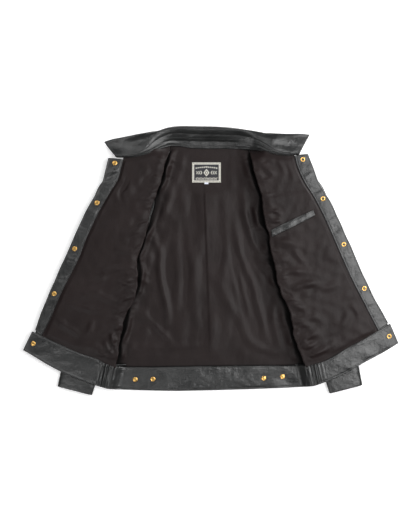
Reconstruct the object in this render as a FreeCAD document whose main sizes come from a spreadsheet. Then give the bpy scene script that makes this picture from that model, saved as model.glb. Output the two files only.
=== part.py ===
import FreeCAD, Part
import math
import os

# A leather work jacket with a snap front, lying open on its back.
# +X is to the wearer's left, +Y towards the collar and +Z up, away from the back panel.
# The origin is under the middle of the jacket, on the surface that it lies on.

DIMENSIONS = {
    # leather, lining and how far each layer lies above the surface
    "ground": 0.0,
    "leather": 1.8,
    "front_leather": 1.6,
    "lining": 0.5,
    "band": 3.2,
    "collar_leather": 3.0,
    "back_lining_lift": 2.1,
    "back_lining_inset": 2.4,
    "seam_wall": 1.8,
    "lining_clearance": 1.0,
    "label_lift": 2.8,
    "label_thickness": 0.6,
    # the two fronts fold about these heights; the left one laps over the right one
    "right_fold_height": 20.6,
    "left_fold_height": 24.6,
    "fold_gap": 0.2,
    "lining_above_fold": 2.7,
    "pocket_bag_above_fold": 2.0,
    "welt_above_fold": 3.3,
    "welt_thickness": 1.4,
    # fold lines of the fronts, from the neck point to the hem
    "neck_half_width": 101.5,
    "neck_point_up": 279.0,
    "hem_fold_half_width": 244.0,
    "hem_fold_down": 269.5,
    # armhole and sleeve
    "shoulder_out": 222.0,
    "shoulder_up": 236.0,
    "armhole_centre_up": 150.0,
    "armhole_radius": 77.0,
    "sleeve_cap_radius": 75.0,
    "sleeve_length": 435.0,
    "sleeve_end_half_width": 46.5,
    "sleeve_height": 18.0,
    "sleeve_lean": 14.4,
    "sleeve_lining_inset": 0.3,
    "cuff_length": 59.7,
    "cuff_half_width": 43.2,
    "cuff_wall": 3.0,
    "side_hem_out": 275.0,
    "side_hem_down": 268.0,
    # back waistband and its adjusters
    "back_band_lift": 4.0,
    "adjuster_tab_lift": 1.5,
    "adjuster_tab_thickness": 1.8,
    "adjuster_tab_reach": 52.0,
    "adjuster_tab_nose": 10.0,
    "adjuster_tab_half_width": 16.0,
    "waist_stud_thickness": 0.6,
    # snap fasteners, line 24
    "snap_cap_radius": 7.5,
    "snap_cap_thickness": 1.4,
    "snap_head_radius": 6.2,
    "snap_head_thickness": 1.0,
    "snap_shank_radius": 1.9,
    "snap_hole_radius": 2.1,
    "snap_stud_radius": 5.5,
    "snap_stud_thickness": 0.8,
    "snap_nub_radius": 2.7,
    "snap_nub_height": 1.4,
    "snap_socket_radius": 6.0,
    "snap_socket_bore": 2.9,
    "snap_socket_height": 2.2,
    # collar over the back neck
    "collar_leaf_lift": 0.4,
    "collar_stand_lift": 9.0,
    # size label
    "size_label_width": 10.0,
    "size_label_height": 6.5,
}

doc = FreeCAD.newDocument("work_jacket")
sheet = doc.addObject("Spreadsheet::Sheet", "sizes")
for row, (alias, value) in enumerate(DIMENSIONS.items(), start=1):
    sheet.set("A%d" % row, alias)
    sheet.set("B%d" % row, str(value))
    sheet.setAlias("B%d" % row, alias)
doc.recompute()

NODES = []


def size(alias):
    """Read one driving dimension from the sheet."""
    return float(sheet.get(alias))


def cell(alias):
    """Name a driving dimension for an expression."""
    return "sizes." + alias


# ---------------------------------------------------------------- outlines

NECK_X = size("neck_half_width")
NECK_Y = size("neck_point_up")
FOLD_SLOPE = (size("hem_fold_half_width") - NECK_X) / (NECK_Y + size("hem_fold_down"))
SHOULDER_X = size("shoulder_out")
SHOULDER_Y = size("shoulder_up")
ARM_Y = size("armhole_centre_up")
ARM_R = size("armhole_radius")
LEAN = math.radians(size("sleeve_lean"))


def on_fold(y, side=-1):
    """Return the point of a fold line at height y; side is -1 on the wearer's right."""
    return (side * (NECK_X + FOLD_SLOPE * (NECK_Y - y)), y)


def on_armhole(degrees):
    """Return a point of the right armhole, at an angle about the shoulder pivot."""
    turn = math.radians(degrees)
    return (-SHOULDER_X + ARM_R * math.cos(turn), ARM_Y + ARM_R * math.sin(turn))


def mirrored(outline):
    """Mirror an outline to the wearer's left."""
    flipped = []
    for step in outline:
        if len(step) == 2:
            flipped.append((-step[0], step[1]))
        else:
            (mid, end) = step[1:]
            flipped.append(("arc", (-mid[0], mid[1]), (-end[0], end[1])))
    return flipped


def add_loop(sketch, outline):
    """Draw a closed outline of points and of ("arc", middle, end) steps in a sketch."""
    def flat(point):
        return FreeCAD.Vector(point[0], point[1], 0)

    first = flat(outline[0])
    here = first
    for step in outline[1:]:
        if len(step) == 3:
            end = flat(step[2])
            sketch.addGeometry(Part.Arc(here, flat(step[1]), end), False)
        else:
            end = flat(step)
            sketch.addGeometry(Part.LineSegment(here, end), False)
        here = end
    if here.distanceToPoint(first) > 1e-6:
        sketch.addGeometry(Part.LineSegment(here, first), False)


def add_circle(sketch, centre, radius):
    """Draw a circle in a sketch."""
    middle = FreeCAD.Vector(centre[0], centre[1], 0)
    sketch.addGeometry(Part.Circle(middle, FreeCAD.Vector(0, 0, 1), radius), False)


def new_body(label):
    """Start a body that is a node of its own."""
    body = doc.addObject("PartDesign::Body", label)
    body.Label = label
    NODES.append(body)
    return body


def add_layer(body, loops, lift, thickness, holes=()):
    """Pad closed loops into a layer: lift and thickness are expressions on the sheet."""
    name = "%s_outline_%d" % (body.Name, len(body.Group))
    sketch = body.newObject("Sketcher::SketchObject", name)
    plane = next(item for item in body.Origin.OriginFeatures if item.Role == "XY_Plane")
    sketch.AttachmentSupport = [(plane, "")]
    sketch.MapMode = "FlatFace"
    sketch.setExpression("AttachmentOffset.Base.z", lift)
    for loop in loops:
        add_loop(sketch, loop)
    for hole in holes:
        add_circle(sketch, hole, size("snap_hole_radius"))
    pad = body.newObject("PartDesign::Pad", "%s_pad_%d" % (body.Name, len(body.Group)))
    pad.Profile = sketch
    pad.setExpression("Length", thickness)
    return body


def slab(label, outline, lift, thickness, holes=()):
    """Make one flat piece of leather or cloth."""
    return add_layer(new_body(label), [outline], lift, thickness, holes)


# ---------------------------------------------------------------- snap fasteners


def disc(name, radius, height, place, lift):
    """Make a cylinder whose sizes and height follow the sheet."""
    cylinder = doc.addObject("Part::Cylinder", name)
    cylinder.setExpression("Radius", radius)
    cylinder.setExpression("Height", height)
    cylinder.Placement.Base = FreeCAD.Vector(place[0], place[1], 0)
    cylinder.setExpression("Placement.Base.z", lift)
    return cylinder


def fastener_group(label, places, pieces):
    """Make one node of equal fasteners: each is a fuse of coaxial discs, less a bore if given."""
    solids = []
    for number, place in enumerate(places):
        discs = []
        for part_number, (radius, height, lift) in enumerate(pieces["discs"]):
            name = "%s_%d_%d" % (label, number, part_number)
            discs.append(disc(name, radius, height, place, lift))
        solid = discs[0]
        if len(discs) > 1:
            solid = doc.addObject("Part::MultiFuse", "%s_%d_fuse" % (label, number))
            solid.Shapes = discs
        if "bore" in pieces:
            (radius, height, lift) = pieces["bore"]
            bore = disc("%s_%d_bore" % (label, number), radius, height, place, lift)
            cut = doc.addObject("Part::Cut", "%s_%d_cut" % (label, number))
            cut.Base = solid
            cut.Tool = bore
            solid = cut
        solids.append(solid)
    group = doc.addObject("Part::Compound", label)
    group.Label = label
    group.Links = solids
    NODES.append(group)
    return group


def post_pieces(top, bottom):
    """A flat brass head on top of the leather, with its shank down through it."""
    shank_height = "%s - (%s)" % (top, bottom)
    return {"discs": [
        (cell("snap_head_radius"), cell("snap_head_thickness"), top),
        (cell("snap_shank_radius"), shank_height, bottom),
    ]}


def stud_pieces(bottom):
    """A stud under the leather, with its nub pointing down."""
    base = "%s - %s" % (bottom, cell("snap_stud_thickness"))
    nub = "%s - %s" % (base, cell("snap_nub_height"))
    return {"discs": [
        (cell("snap_stud_radius"), cell("snap_stud_thickness"), base),
        (cell("snap_nub_radius"), cell("snap_nub_height"), nub),
    ]}


def cap_pieces(bottom, height):
    """A round cap under the leather, with its shank up through it."""
    base = "%s - %s" % (bottom, cell("snap_cap_thickness"))
    return {"discs": [
        (cell("snap_cap_radius"), cell("snap_cap_thickness"), base),
        (cell("snap_shank_radius"), height, bottom),
    ]}


def socket_pieces(top):
    """A socket ring on top of the leather, open in the middle."""
    return {
        "discs": [(cell("snap_socket_radius"), cell("snap_socket_height"), top)],
        "bore": (cell("snap_socket_bore"), cell("snap_socket_height"), top),
    }


# ---------------------------------------------------------------- back and sides

ARM_INNER = on_armhole(0)
ARM_LOW = on_armhole(-size("sleeve_lean"))
ARM_TOP = on_armhole(90)
SIDE_HEM = (-size("side_hem_out"), -size("side_hem_down"))


def back_pieces():
    """The outer back: a yoke over the shoulders and a panel below it."""
    arc_mid = on_armhole(45)
    right = [(-NECK_X, NECK_Y), (-SHOULDER_X, SHOULDER_Y), ARM_TOP, ("arc", arc_mid, ARM_INNER)]
    left = [(-ARM_INNER[0], ARM_INNER[1]), ("arc", (-arc_mid[0], arc_mid[1]), (-ARM_TOP[0], ARM_TOP[1])),
            (SHOULDER_X, SHOULDER_Y), (NECK_X, NECK_Y)]
    slab("back_yoke", right + left, cell("ground"), cell("leather"))
    arc_low = on_armhole(-size("sleeve_lean") / 2)
    right = [ARM_INNER, ("arc", arc_low, ARM_LOW), SIDE_HEM]
    left = [(-SIDE_HEM[0], SIDE_HEM[1]), (-ARM_LOW[0], ARM_LOW[1]),
            ("arc", (-arc_low[0], arc_low[1]), (-ARM_INNER[0], ARM_INNER[1]))]
    slab("back_panel", right + left, cell("ground"), cell("leather"))


def back_lining():
    """The lining over the inside of the back, a little short of the side walls."""
    inset = size("back_lining_inset")
    shoulder = (-SHOULDER_X, ARM_TOP[1])
    lower = (ARM_LOW[0] + inset, ARM_LOW[1])
    right = [(-NECK_X + inset, NECK_Y - inset), (-SHOULDER_X, SHOULDER_Y - inset), shoulder,
             ("arc", on_armhole(40), ARM_LOW), lower, (SIDE_HEM[0] + inset, SIDE_HEM[1])]
    left = [(-SIDE_HEM[0] - inset, SIDE_HEM[1]), (-lower[0], lower[1]), (-ARM_LOW[0], ARM_LOW[1]),
            ("arc", (-on_armhole(40)[0], on_armhole(40)[1]), (SHOULDER_X, ARM_TOP[1])),
            (SHOULDER_X, SHOULDER_Y - inset), (NECK_X - inset, NECK_Y - inset)]
    slab("back_lining", right + left, cell("back_lining_lift"), cell("lining"))


def side_and_shoulder(side_name, flip):
    """The part of a front that stays down: over the shoulder, and beside the armhole to the hem.

    Each is a plate just under the fold, with a wall along the seam that joins it to the back.
    """
    fold = cell(side_name + "_fold_height")
    plate_lift = "%s - %s - %s" % (fold, cell("fold_gap"), cell("front_leather"))
    wall_height = "%s - %s" % (plate_lift, cell("leather"))
    wall = size("seam_wall")
    shoulder_plate = [(-NECK_X, NECK_Y), (-SHOULDER_X, SHOULDER_Y), ARM_TOP,
                      ("arc", on_armhole(45), ARM_INNER), on_fold(ARM_Y)]
    shoulder_wall = [(-NECK_X, NECK_Y), (-SHOULDER_X, SHOULDER_Y),
                     (-SHOULDER_X, SHOULDER_Y - wall), on_fold(NECK_Y - wall)]
    side_plate = [on_fold(ARM_Y), ARM_INNER,
                  ("arc", on_armhole(-size("sleeve_lean") / 2), ARM_LOW),
                  SIDE_HEM, on_fold(SIDE_HEM[1])]
    side_wall = [ARM_LOW, SIDE_HEM, (SIDE_HEM[0] + wall, SIDE_HEM[1]), (ARM_LOW[0] + wall, ARM_LOW[1])]
    for name, plate, seam in (("shoulder", shoulder_plate, shoulder_wall),
                              ("side", side_plate, side_wall)):
        body = new_body("%s_%s_panel" % (side_name, name))
        if flip:
            plate = mirrored(plate)
            seam = mirrored(seam)
        add_layer(body, [plate], plate_lift, cell("front_leather"))
        add_layer(body, [seam], cell("leather"), wall_height)


WAIST_POSTS = [(-192.3, -304.5), (-147.1, -303.8), (135.9, -301.5), (183.6, -297.4)]


def back_waistband():
    """The band across the back hem, with its adjusting tabs underneath."""
    outline = [on_fold(-274), on_fold(-330.5), (0, -332), on_fold(-323, 1), on_fold(-268, 1), (0, -271)]
    slab("back_waistband", outline, cell("back_band_lift"), cell("band"), WAIST_POSTS)
    top = "%s + %s" % (cell("back_band_lift"), cell("band"))
    fastener_group("waist_snap_posts", WAIST_POSTS, post_pieces(top, cell("back_band_lift")))
    stud_base = "%s - %s" % (cell("back_band_lift"), cell("waist_stud_thickness"))
    stud = (cell("snap_stud_radius"), cell("waist_stud_thickness"), stud_base)
    fastener_group("waist_snap_studs", WAIST_POSTS, {"discs": [stud]})
    tab_places = {"right": WAIST_POSTS[0], "left": WAIST_POSTS[3]}
    for side_name, (x, y) in tab_places.items():
        outer = math.copysign(size("adjuster_tab_reach"), x)
        nose = math.copysign(size("adjuster_tab_nose"), x)
        half = size("adjuster_tab_half_width")
        tab = [(x + outer, y - half), (x - nose, y - half), ("arc", (x - 2 * nose, y), (x - nose, y + half)),
               (x + outer, y + half)]
        slab(side_name + "_adjuster_tab", tab, cell("adjuster_tab_lift"), cell("adjuster_tab_thickness"))
    cap = {"discs": [(cell("snap_cap_radius"), cell("adjuster_tab_lift"), cell("ground"))]}
    fastener_group("adjuster_snap_caps", list(tab_places.values()), cap)


def neck_and_labels():
    """The collar where it crosses the back neck, and the labels sewn below it."""
    lower = [on_fold(281), (-90, 292), (-32, 285), (26, 284), (75, 283), on_fold(281, 1)]
    upper = [on_fold(328, 1), (49, 334), (-73, 340), on_fold(334)]
    slab("collar_leaf", lower + upper, cell("collar_leaf_lift"), cell("collar_leather"))
    slab("collar_stand", lower + upper, cell("collar_stand_lift"), cell("collar_leather"))
    label = [(-47, 249), (26, 249), (26, 198), (-47, 198)]
    slab("neck_label", label, cell("label_lift"), cell("label_thickness"))
    middle = (-10, 194.5)
    half_width = size("size_label_width") / 2
    half_height = size("size_label_height") / 2
    tab = [(middle[0] - half_width, middle[1] - half_height), (middle[0] + half_width, middle[1] - half_height),
           (middle[0] + half_width, middle[1] + half_height), (middle[0] - half_width, middle[1] + half_height)]
    slab("size_label", tab, cell("label_lift"), cell("label_thickness"))


# ---------------------------------------------------------------- fronts

# Edges of each front as it lies open, from the neck down and from the placket to the fold.
RIGHT_NECK_SEAM = [(-126, 282), (-154, 274), (-183, 264), (-221, 260)]
RIGHT_FRONT_EDGE = [(-260, 260), (-269, 220), (-291, 169), (-327, 104), (-352, 46), (-372, 0),
                    (-391.5, -42), (-413.5, -94), (-442, -175)]
RIGHT_PLACKET_INNER = [(-221, 256), (-236, 202), (-260, 163), (-290, 108), (-318, 47), (-336, 0),
                       (-377, -81), (-406, -149), (-429, -192)]
RIGHT_BAND_TOP = [(-384, -213), (-335, -235), (-294, -248), (-268, -264)]
RIGHT_BAND_END = [(-453, -181), (-476.5, -229)]
RIGHT_BAND_LOW = [(-432, -256), (-384, -282), (-335, -303), (-296, -316)]
RIGHT_SNAPS = [(-243.1, 245.9), (-288.5, 145.0), (-345.2, 28.7), (-397.3, -85.3), (-450.1, -212.1)]
RIGHT_WING = [(-235, 260), (-244, 267), (-270, 299), (-132, 328)]

LEFT_NECK_SEAM = [(110, 282), (133, 274), (176, 268), (212, 266)]
LEFT_FRONT_EDGE = [(244, 270), (258, 229), (287, 177), (309, 139), (329, 96), (352, 51),
                   (383, -28), (411, -91), (443, -153)]
LEFT_PLACKET_INNER = [(212, 265), (221, 232), (238, 196), (261, 160), (287, 110), (307, 65),
                      (360, -54), (386, -105), (424, -179)]
LEFT_BAND_TOP = [(383, -203), (337, -228), (298, -251), (272, -261)]
LEFT_BAND_END = [(451, -162), (476.5, -213)]
LEFT_BAND_LOW = [(442, -236), (413, -253), (377, -267), (325, -296), (282, -312)]
LEFT_SNAPS = [(233.7, 254.5), (284.7, 155.2), (337.6, 39.6), (389.4, -72.1), (452.6, -193.0)]
LEFT_WING = [(212, 266), (227, 271), (250, 314), (239, 319), (114, 326)]


def front(side_name, side, neck_seam, edge, inner, band_top, band_end, band_low, snaps, wing):
    """One front, folded open about its fold line: shell, lining, placket, waistband and collar wing."""
    fold = cell(side_name + "_fold_height")
    base = "%s + %s" % (fold, cell("fold_gap"))
    on_leather = "%s + %s" % (base, cell("front_leather"))
    front_top = "%s + %s" % (base, cell("band"))
    lining_lift = "%s + %s" % (fold, cell("lining_above_fold"))
    hem = size("hem_fold_down")
    clear = size("lining_clearance")
    panel = [on_fold(NECK_Y, side)] + neck_seam + edge + [inner[-1]] + band_top + [on_fold(-hem, side)]
    slab(side_name + "_front_panel", panel, base, cell("front_leather"), snaps[:-1])
    placket = edge + inner[::-1]
    slab(side_name + "_placket", placket, on_leather, cell("front_leather"), snaps[:-1])
    lining = [on_fold(NECK_Y - clear, side)] + [(x, y - clear) for (x, y) in neck_seam]
    lining += [(x - side * clear, y) for (x, y) in inner]
    lining += [(x, y + clear) for (x, y) in band_top] + [on_fold(-hem + clear, side)]
    slab(side_name + "_front_lining", lining, lining_lift, cell("lining"))
    band_low_fold = on_fold(-326 if side < 0 else -321, side)
    band = [inner[-1], edge[-1]] + band_end + band_low + [band_low_fold, on_fold(-hem, side)] + band_top[::-1]
    slab(side_name + "_front_waistband", band, base, cell("band"), snaps[-1:])
    collar = [on_fold(281, side)] + [(x, y + 0.5) for (x, y) in neck_seam[:-1]] + wing
    collar += [on_fold(333 if side < 0 else 328, side)]
    slab(side_name + "_collar_wing", collar, base, cell("collar_leather"))
    return base, front_top


def right_front():
    """The wearer's right front, which carries the studs."""
    base, top = front("right", -1, RIGHT_NECK_SEAM, RIGHT_FRONT_EDGE, RIGHT_PLACKET_INNER,
                      RIGHT_BAND_TOP, RIGHT_BAND_END, RIGHT_BAND_LOW, RIGHT_SNAPS, RIGHT_WING)
    fastener_group("right_front_snap_posts", RIGHT_SNAPS, post_pieces(top, base))
    fastener_group("right_front_snap_studs", RIGHT_SNAPS, stud_pieces(base))


def left_front():
    """The wearer's left front, which carries the caps and sockets and the inside pocket."""
    base, top = front("left", 1, LEFT_NECK_SEAM, LEFT_FRONT_EDGE, LEFT_PLACKET_INNER,
                      LEFT_BAND_TOP, LEFT_BAND_END, LEFT_BAND_LOW, LEFT_SNAPS, LEFT_WING)
    fastener_group("left_front_snap_caps", LEFT_SNAPS, cap_pieces(base, cell("band")))
    fastener_group("left_front_snap_sockets", LEFT_SNAPS, socket_pieces(top))
    welt = [(153, 76), (260, 127), (265, 113), (155, 58)]
    slab("pocket_welt", welt, "%s + %s" % (cell("left_fold_height"), cell("welt_above_fold")),
         cell("welt_thickness"))
    bag = [(163, 66), (262, 118), (300, -15), (205, -60)]
    slab("pocket_bag", bag, "%s + %s" % (cell("left_fold_height"), cell("pocket_bag_above_fold")),
         cell("lining"))


# ---------------------------------------------------------------- sleeves


def sleeve_outline(inset, inner):
    """The sleeve seen from above, its shoulder pivot at the origin and its cuff towards -Y."""
    top = size("sleeve_cap_radius") - inset
    end = size("sleeve_end_half_width") - inset
    reach = size("sleeve_length")
    return [(inner * top, 0), (inner * end, -reach), (-inner * end, -reach), (-inner * top, 0),
            ("arc", (0, top), (inner * top, 0))]


def sleeve_walls(inset, wall, inner):
    """The sleeve's two long walls; the outer one runs on round the shoulder to its top."""
    top = size("sleeve_cap_radius") - inset
    end = size("sleeve_end_half_width") - inset
    reach = size("sleeve_length")
    slant = math.sqrt(0.5)
    inner_wall = [(inner * top, 0), (inner * end, -reach), (inner * (end - wall), -reach),
                  (inner * (top - wall), 0)]
    outer_wall = [(-inner * top, 0), (-inner * end, -reach), (-inner * (end - wall), -reach),
                  (-inner * (top - wall), 0),
                  ("arc", (-inner * (top - wall) * slant, (top - wall) * slant), (0, top - wall)),
                  (0, top), ("arc", (-inner * top * slant, top * slant), (-inner * top, 0))]
    return [inner_wall, outer_wall]


def place_on_shoulder(body, side):
    """Set a sleeve piece at its shoulder, leaning away from the side."""
    turn = FreeCAD.Rotation(FreeCAD.Vector(0, 0, 1), side * size("sleeve_lean"))
    body.Placement = FreeCAD.Placement(FreeCAD.Vector(side * SHOULDER_X, ARM_Y, 0), turn)


def sleeve(side_name, side):
    """One sleeve, pressed flat and open at both ends, with its lining and cuff.

    The upper sleeve wraps round both sides to the under sleeve, which lies flat.
    """
    inner = -side
    outline = sleeve_outline(0, inner)
    walls = sleeve_walls(0, size("leather"), inner)

    upper = new_body(side_name + "_upper_sleeve")
    add_layer(upper, [outline], "%s - %s" % (cell("sleeve_height"), cell("leather")), cell("leather"))
    add_layer(upper, walls, cell("leather"), "%s - 2 * %s" % (cell("sleeve_height"), cell("leather")))
    under = new_body(side_name + "_under_sleeve")
    add_layer(under, [outline], cell("ground"), cell("leather"))

    inset = size("leather") + size("sleeve_lining_inset")
    lining_low = "%s + %s" % (cell("leather"), cell("sleeve_lining_inset"))
    lining_top = "%s - %s - %s - %s" % (cell("sleeve_height"), cell("leather"),
                                        cell("sleeve_lining_inset"), cell("lining"))
    lining = new_body(side_name + "_sleeve_lining")
    add_layer(lining, [sleeve_outline(inset, inner)], lining_low, cell("lining"))
    add_layer(lining, sleeve_walls(inset, size("lining"), inner), "%s + %s" % (lining_low, cell("lining")),
              "%s - (%s) - %s" % (lining_top, lining_low, cell("lining")))
    add_layer(lining, [sleeve_outline(inset, inner)], lining_top, cell("lining"))

    start = -size("sleeve_length")
    end = start - size("cuff_length")
    near = size("sleeve_end_half_width")
    far = size("cuff_half_width")
    wall = size("cuff_wall")
    plate = [(near, start), (far, end), (-far, end), (-near, start)]
    cuff_walls = [[(sign * near, start), (sign * far, end), (sign * (far - wall), end),
                   (sign * (near - wall), start)] for sign in (-1, 1)]
    cuff = new_body(side_name + "_cuff")
    add_layer(cuff, [plate], cell("ground"), cell("cuff_wall"))
    add_layer(cuff, cuff_walls, cell("cuff_wall"), "%s - 2 * %s" % (cell("sleeve_height"), cell("cuff_wall")))
    add_layer(cuff, [plate], "%s - %s" % (cell("sleeve_height"), cell("cuff_wall")), cell("cuff_wall"))
    for body in (upper, under, lining, cuff):
        place_on_shoulder(body, side)


# ---------------------------------------------------------------- assembly

back_pieces()
back_lining()
side_and_shoulder("right", False)
side_and_shoulder("left", True)
back_waistband()
neck_and_labels()
right_front()
left_front()
sleeve("right", -1)
sleeve("left", 1)
doc.recompute()

for item in doc.Objects:
    if "Invalid" in item.State or "Error" in item.State:
        raise RuntimeError("%s did not recompute" % item.Name)
for node in NODES:
    if node.Shape.isNull() or not node.Shape.isValid() or node.Shape.Volume <= 0:
        raise RuntimeError("%s has no valid shape" % node.Label)

os.makedirs("parts", exist_ok=True)
for node in NODES:
    node.Shape.exportStep(os.path.join("parts", node.Label + ".step"))
    box = node.Shape.BoundBox
    print("%-26s solids %d  z %.2f to %.2f  volume %.0f" % (
        node.Label, len(node.Shape.Solids), box.ZMin, box.ZMax, node.Shape.Volume))
everything = Part.makeCompound([node.Shape for node in NODES])
box = everything.BoundBox
print("whole: x %.1f to %.1f, y %.1f to %.1f, z %.2f to %.2f" % (
    box.XMin, box.XMax, box.YMin, box.YMax, box.ZMin, box.ZMax))
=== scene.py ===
import bmesh
import bpy
import math
import numpy as np
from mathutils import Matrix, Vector
from mathutils.bvhtree import BVHTree


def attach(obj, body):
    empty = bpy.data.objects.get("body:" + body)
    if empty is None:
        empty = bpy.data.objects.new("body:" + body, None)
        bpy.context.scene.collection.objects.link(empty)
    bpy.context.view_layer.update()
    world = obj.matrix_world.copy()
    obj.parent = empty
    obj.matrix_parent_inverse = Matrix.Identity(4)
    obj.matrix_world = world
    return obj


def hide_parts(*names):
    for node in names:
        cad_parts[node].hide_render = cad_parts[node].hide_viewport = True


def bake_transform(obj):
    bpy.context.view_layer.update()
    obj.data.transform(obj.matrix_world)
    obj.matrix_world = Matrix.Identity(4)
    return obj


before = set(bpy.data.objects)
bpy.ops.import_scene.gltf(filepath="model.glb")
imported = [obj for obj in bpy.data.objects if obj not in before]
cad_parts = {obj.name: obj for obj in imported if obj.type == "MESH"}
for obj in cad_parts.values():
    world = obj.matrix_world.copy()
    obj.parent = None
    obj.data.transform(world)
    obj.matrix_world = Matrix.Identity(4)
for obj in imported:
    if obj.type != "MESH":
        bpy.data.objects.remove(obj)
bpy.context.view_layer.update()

# Lengths below are in millimetres, in the frame of the CAD model; MM turns them into metres.
MM = 0.001

# ---------------------------------------------------------------- sizes

NECK = np.array([101.5, 279.0])        # the neck point, where a fold line starts
HEM = np.array([244.0, -269.5])        # where it meets the hem
RIGHT, LEFT = -1, 1
FOLD_HEIGHT = {RIGHT: 20.6, LEFT: 24.6}
SIDE_NAME = {RIGHT: "right", LEFT: "left"}
SLEEVE_TOP = 18.0

BACK_LEATHER, FRONT_LEATHER, SLEEVE_LEATHER, COLLAR_LEATHER, FACING_LEATHER = 1.8, 1.6, 1.5, 2.2, 1.2
LINING_CLOTH, POCKET_CLOTH = 0.45, 0.3
PLACKET_DEPTH, BAND_DEPTH, WELT_DEPTH = 3.9, 3.6, 2.0
LINING_LEVEL = 2.8                     # underside of the back's lining
TRIM_LIFT = 0.15                       # gap between a front and the leather trim on it
SEAM_INSET, WELT_INSET = 4.0, 2.2      # stitches, from the edge

# Spans for across_fold and over_fold, for where the pieces would stop following the torso and start following
# a front: distances outboard of the fold line for the trim, and heights beside the fold's for the sheets that
# turn over it. bend does not use them.
BAND_BEND = (-8, 12)
COLLAR_BEND = (-10, 14)
LINING_BEND = (-2.4, 0.2)
LEATHER_BEND = (-1.7, 0.1)

PLACKET_OUTER = {
    RIGHT: [(-260, 260), (-269, 220), (-278, 192), (-291, 169), (-310, 137), (-327, 104), (-352, 46),
            (-373, 0), (-392, -42), (-414.5, -94), (-433, -140), (-446, -178)],
    LEFT: [(247, 270), (262.5, 229), (274.5, 197), (286, 177), (309, 139), (328.5, 96), (348.5, 51),
           (383, -28), (413, -91), (434, -130), (451, -160)],
}
PLACKET_INNER = {
    RIGHT: [(-221, 256), (-227, 233), (-236, 202), (-260, 163), (-290, 108), (-318, 47), (-336, 0),
            (-377, -81), (-406, -149), (-428, -192)],
    LEFT: [(212, 265), (221, 232), (238, 196), (261, 160), (287, 110), (307, 65), (329, 14),
           (360, -54), (386, -105), (424, -179)],
}
FOLD_EDGE = {
    RIGHT: [(-103, 292), (-127, 208), (-155, 120), (-168, 63), (-187, 11), (-186, -41), (-196, -87),
            (-217, -139), (-228, -191), (-237, -232), (-244, -269)],
    LEFT: [(99, 286.5), (112, 234), (130, 161), (141, 94), (152, 63), (158, 6), (184, -82),
           (197, -118), (212, -180), (232, -242), (244, -266)],
}
NECK_SEAM = {
    RIGHT: [(-221, 262), (-183, 268), (-154, 278), (-126, 287), (-103, 292)],
    LEFT: [(212, 268.5), (176, 271), (133, 279.5), (110, 285), (99, 286.5)],
}
BAND_TOP = {
    RIGHT: [(-428, -192), (-384, -213), (-335, -235), (-294, -248), (-268, -262), (-244, -269)],
    LEFT: [(424, -179), (383, -203), (337, -228), (298, -251), (272, -261), (244, -266)],
}
SNAPS = {
    RIGHT: [(-243.1, 245.9), (-288.5, 145.0), (-345.2, 28.7), (-397.3, -85.3), (-450.1, -212.1)],
    LEFT: [(233.7, 254.5), (284.7, 155.2), (337.6, 39.6), (389.4, -72.1), (452.6, -193.0)],
}
WAIST_SNAPS = [(-192.3, -304.5), (-147.1, -303.8), (135.9, -301.5), (183.6, -297.4)]

# ---------------------------------------------------------------- curves and fields


def spans(points, per_span):
    """A smooth curve through the points, with the same number of steps in every span."""
    p = np.array(points, float)
    p = np.vstack([2 * p[0] - p[1], p, 2 * p[-1] - p[-2]])
    t = np.linspace(0, 1, per_span, endpoint=False)[:, None]
    parts = []
    for a, b, c, d in zip(p, p[1:], p[2:], p[3:]):
        parts.append(0.5 * (2 * b + (c - a) * t + (2 * a - 5 * b + 4 * c - d) * t ** 2
                            + (3 * b - a - 3 * c + d) * t ** 3))
    return np.vstack(parts + [p[-2:-1]])


def curve(points, count):
    """Even points along a smooth curve through the given points, in 2 or 3 dimensions."""
    return even(spans(points, 24), count)


def even(line, count):
    """The same line with evenly spaced points."""
    along = np.concatenate([[0], np.cumsum(np.linalg.norm(np.diff(line, axis=0), axis=1))])
    at = np.linspace(0, along[-1], count)
    return np.stack([np.interp(at, along, line[:, k]) for k in range(line.shape[1])], axis=1)


def smoothstep(x, low, high):
    """A soft step from 0 at low to 1 at high; low may be the larger of the two."""
    t = np.clip((x - low) / (high - low), 0, 1)
    return t * t * (3 - 2 * t)


def field(x, y, wavelength, seed, waves=14, stretch=(1, 1)):
    """A smooth random surface of about unit height, with bumps of about that wavelength."""
    random = np.random.default_rng(seed)
    total = np.zeros_like(x, float)
    for _ in range(waves):
        turn = random.uniform(0, 2 * math.pi)
        size = wavelength * random.uniform(0.7, 1.5)
        phase = random.uniform(0, 2 * math.pi)
        k = 2 * math.pi / size
        total += np.sin(k * (x * math.cos(turn) / stretch[0] + y * math.sin(turn) / stretch[1]) + phase)
    return total / math.sqrt(waves / 2)


def crease(x, y, points, width, height):
    """A ridge (or a valley, if height is negative) along a line, fading out at both ends."""
    line = curve(points, 40)
    best = np.full(x.shape, 1e9)
    share = np.zeros_like(x, float)
    for i, p in enumerate(line):
        d = np.hypot(x - p[0], y - p[1])
        near = d < best
        best = np.where(near, d, best)
        share = np.where(near, i / (len(line) - 1), share)
    taper = np.sin(np.pi * np.clip(share, 0.02, 0.98)) ** 0.7
    ridge = np.exp(-(best / width) ** 2)
    furrow = 0.35 * np.exp(-((best - 1.9 * width) / width) ** 2)
    return height * taper * (ridge - furrow)


def coons(first, last, low, high):
    """A surface patch from its four edges: first and last run along v, low and high along u."""
    n, m = len(low), len(first)
    u = np.linspace(0, 1, n)[:, None, None]
    v = np.linspace(0, 1, m)[None, :, None]
    ruled_v = low[:, None] * (1 - v) + high[:, None] * v
    ruled_u = first[None] * (1 - u) + last[None] * u
    corners = (low[0] * (1 - u) * (1 - v) + high[0] * (1 - u) * v + low[-1] * u * (1 - v) + high[-1] * u * v)
    return ruled_v + ruled_u - corners


FOLD_DIRECTION = (HEM - NECK) / np.linalg.norm(HEM - NECK)


def fold_distance(x, y, side):
    """How far a point lies outboard of its side's fold line."""
    return (side * x - NECK[0]) * -FOLD_DIRECTION[1] + (y - NECK[1]) * FOLD_DIRECTION[0]


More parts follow.
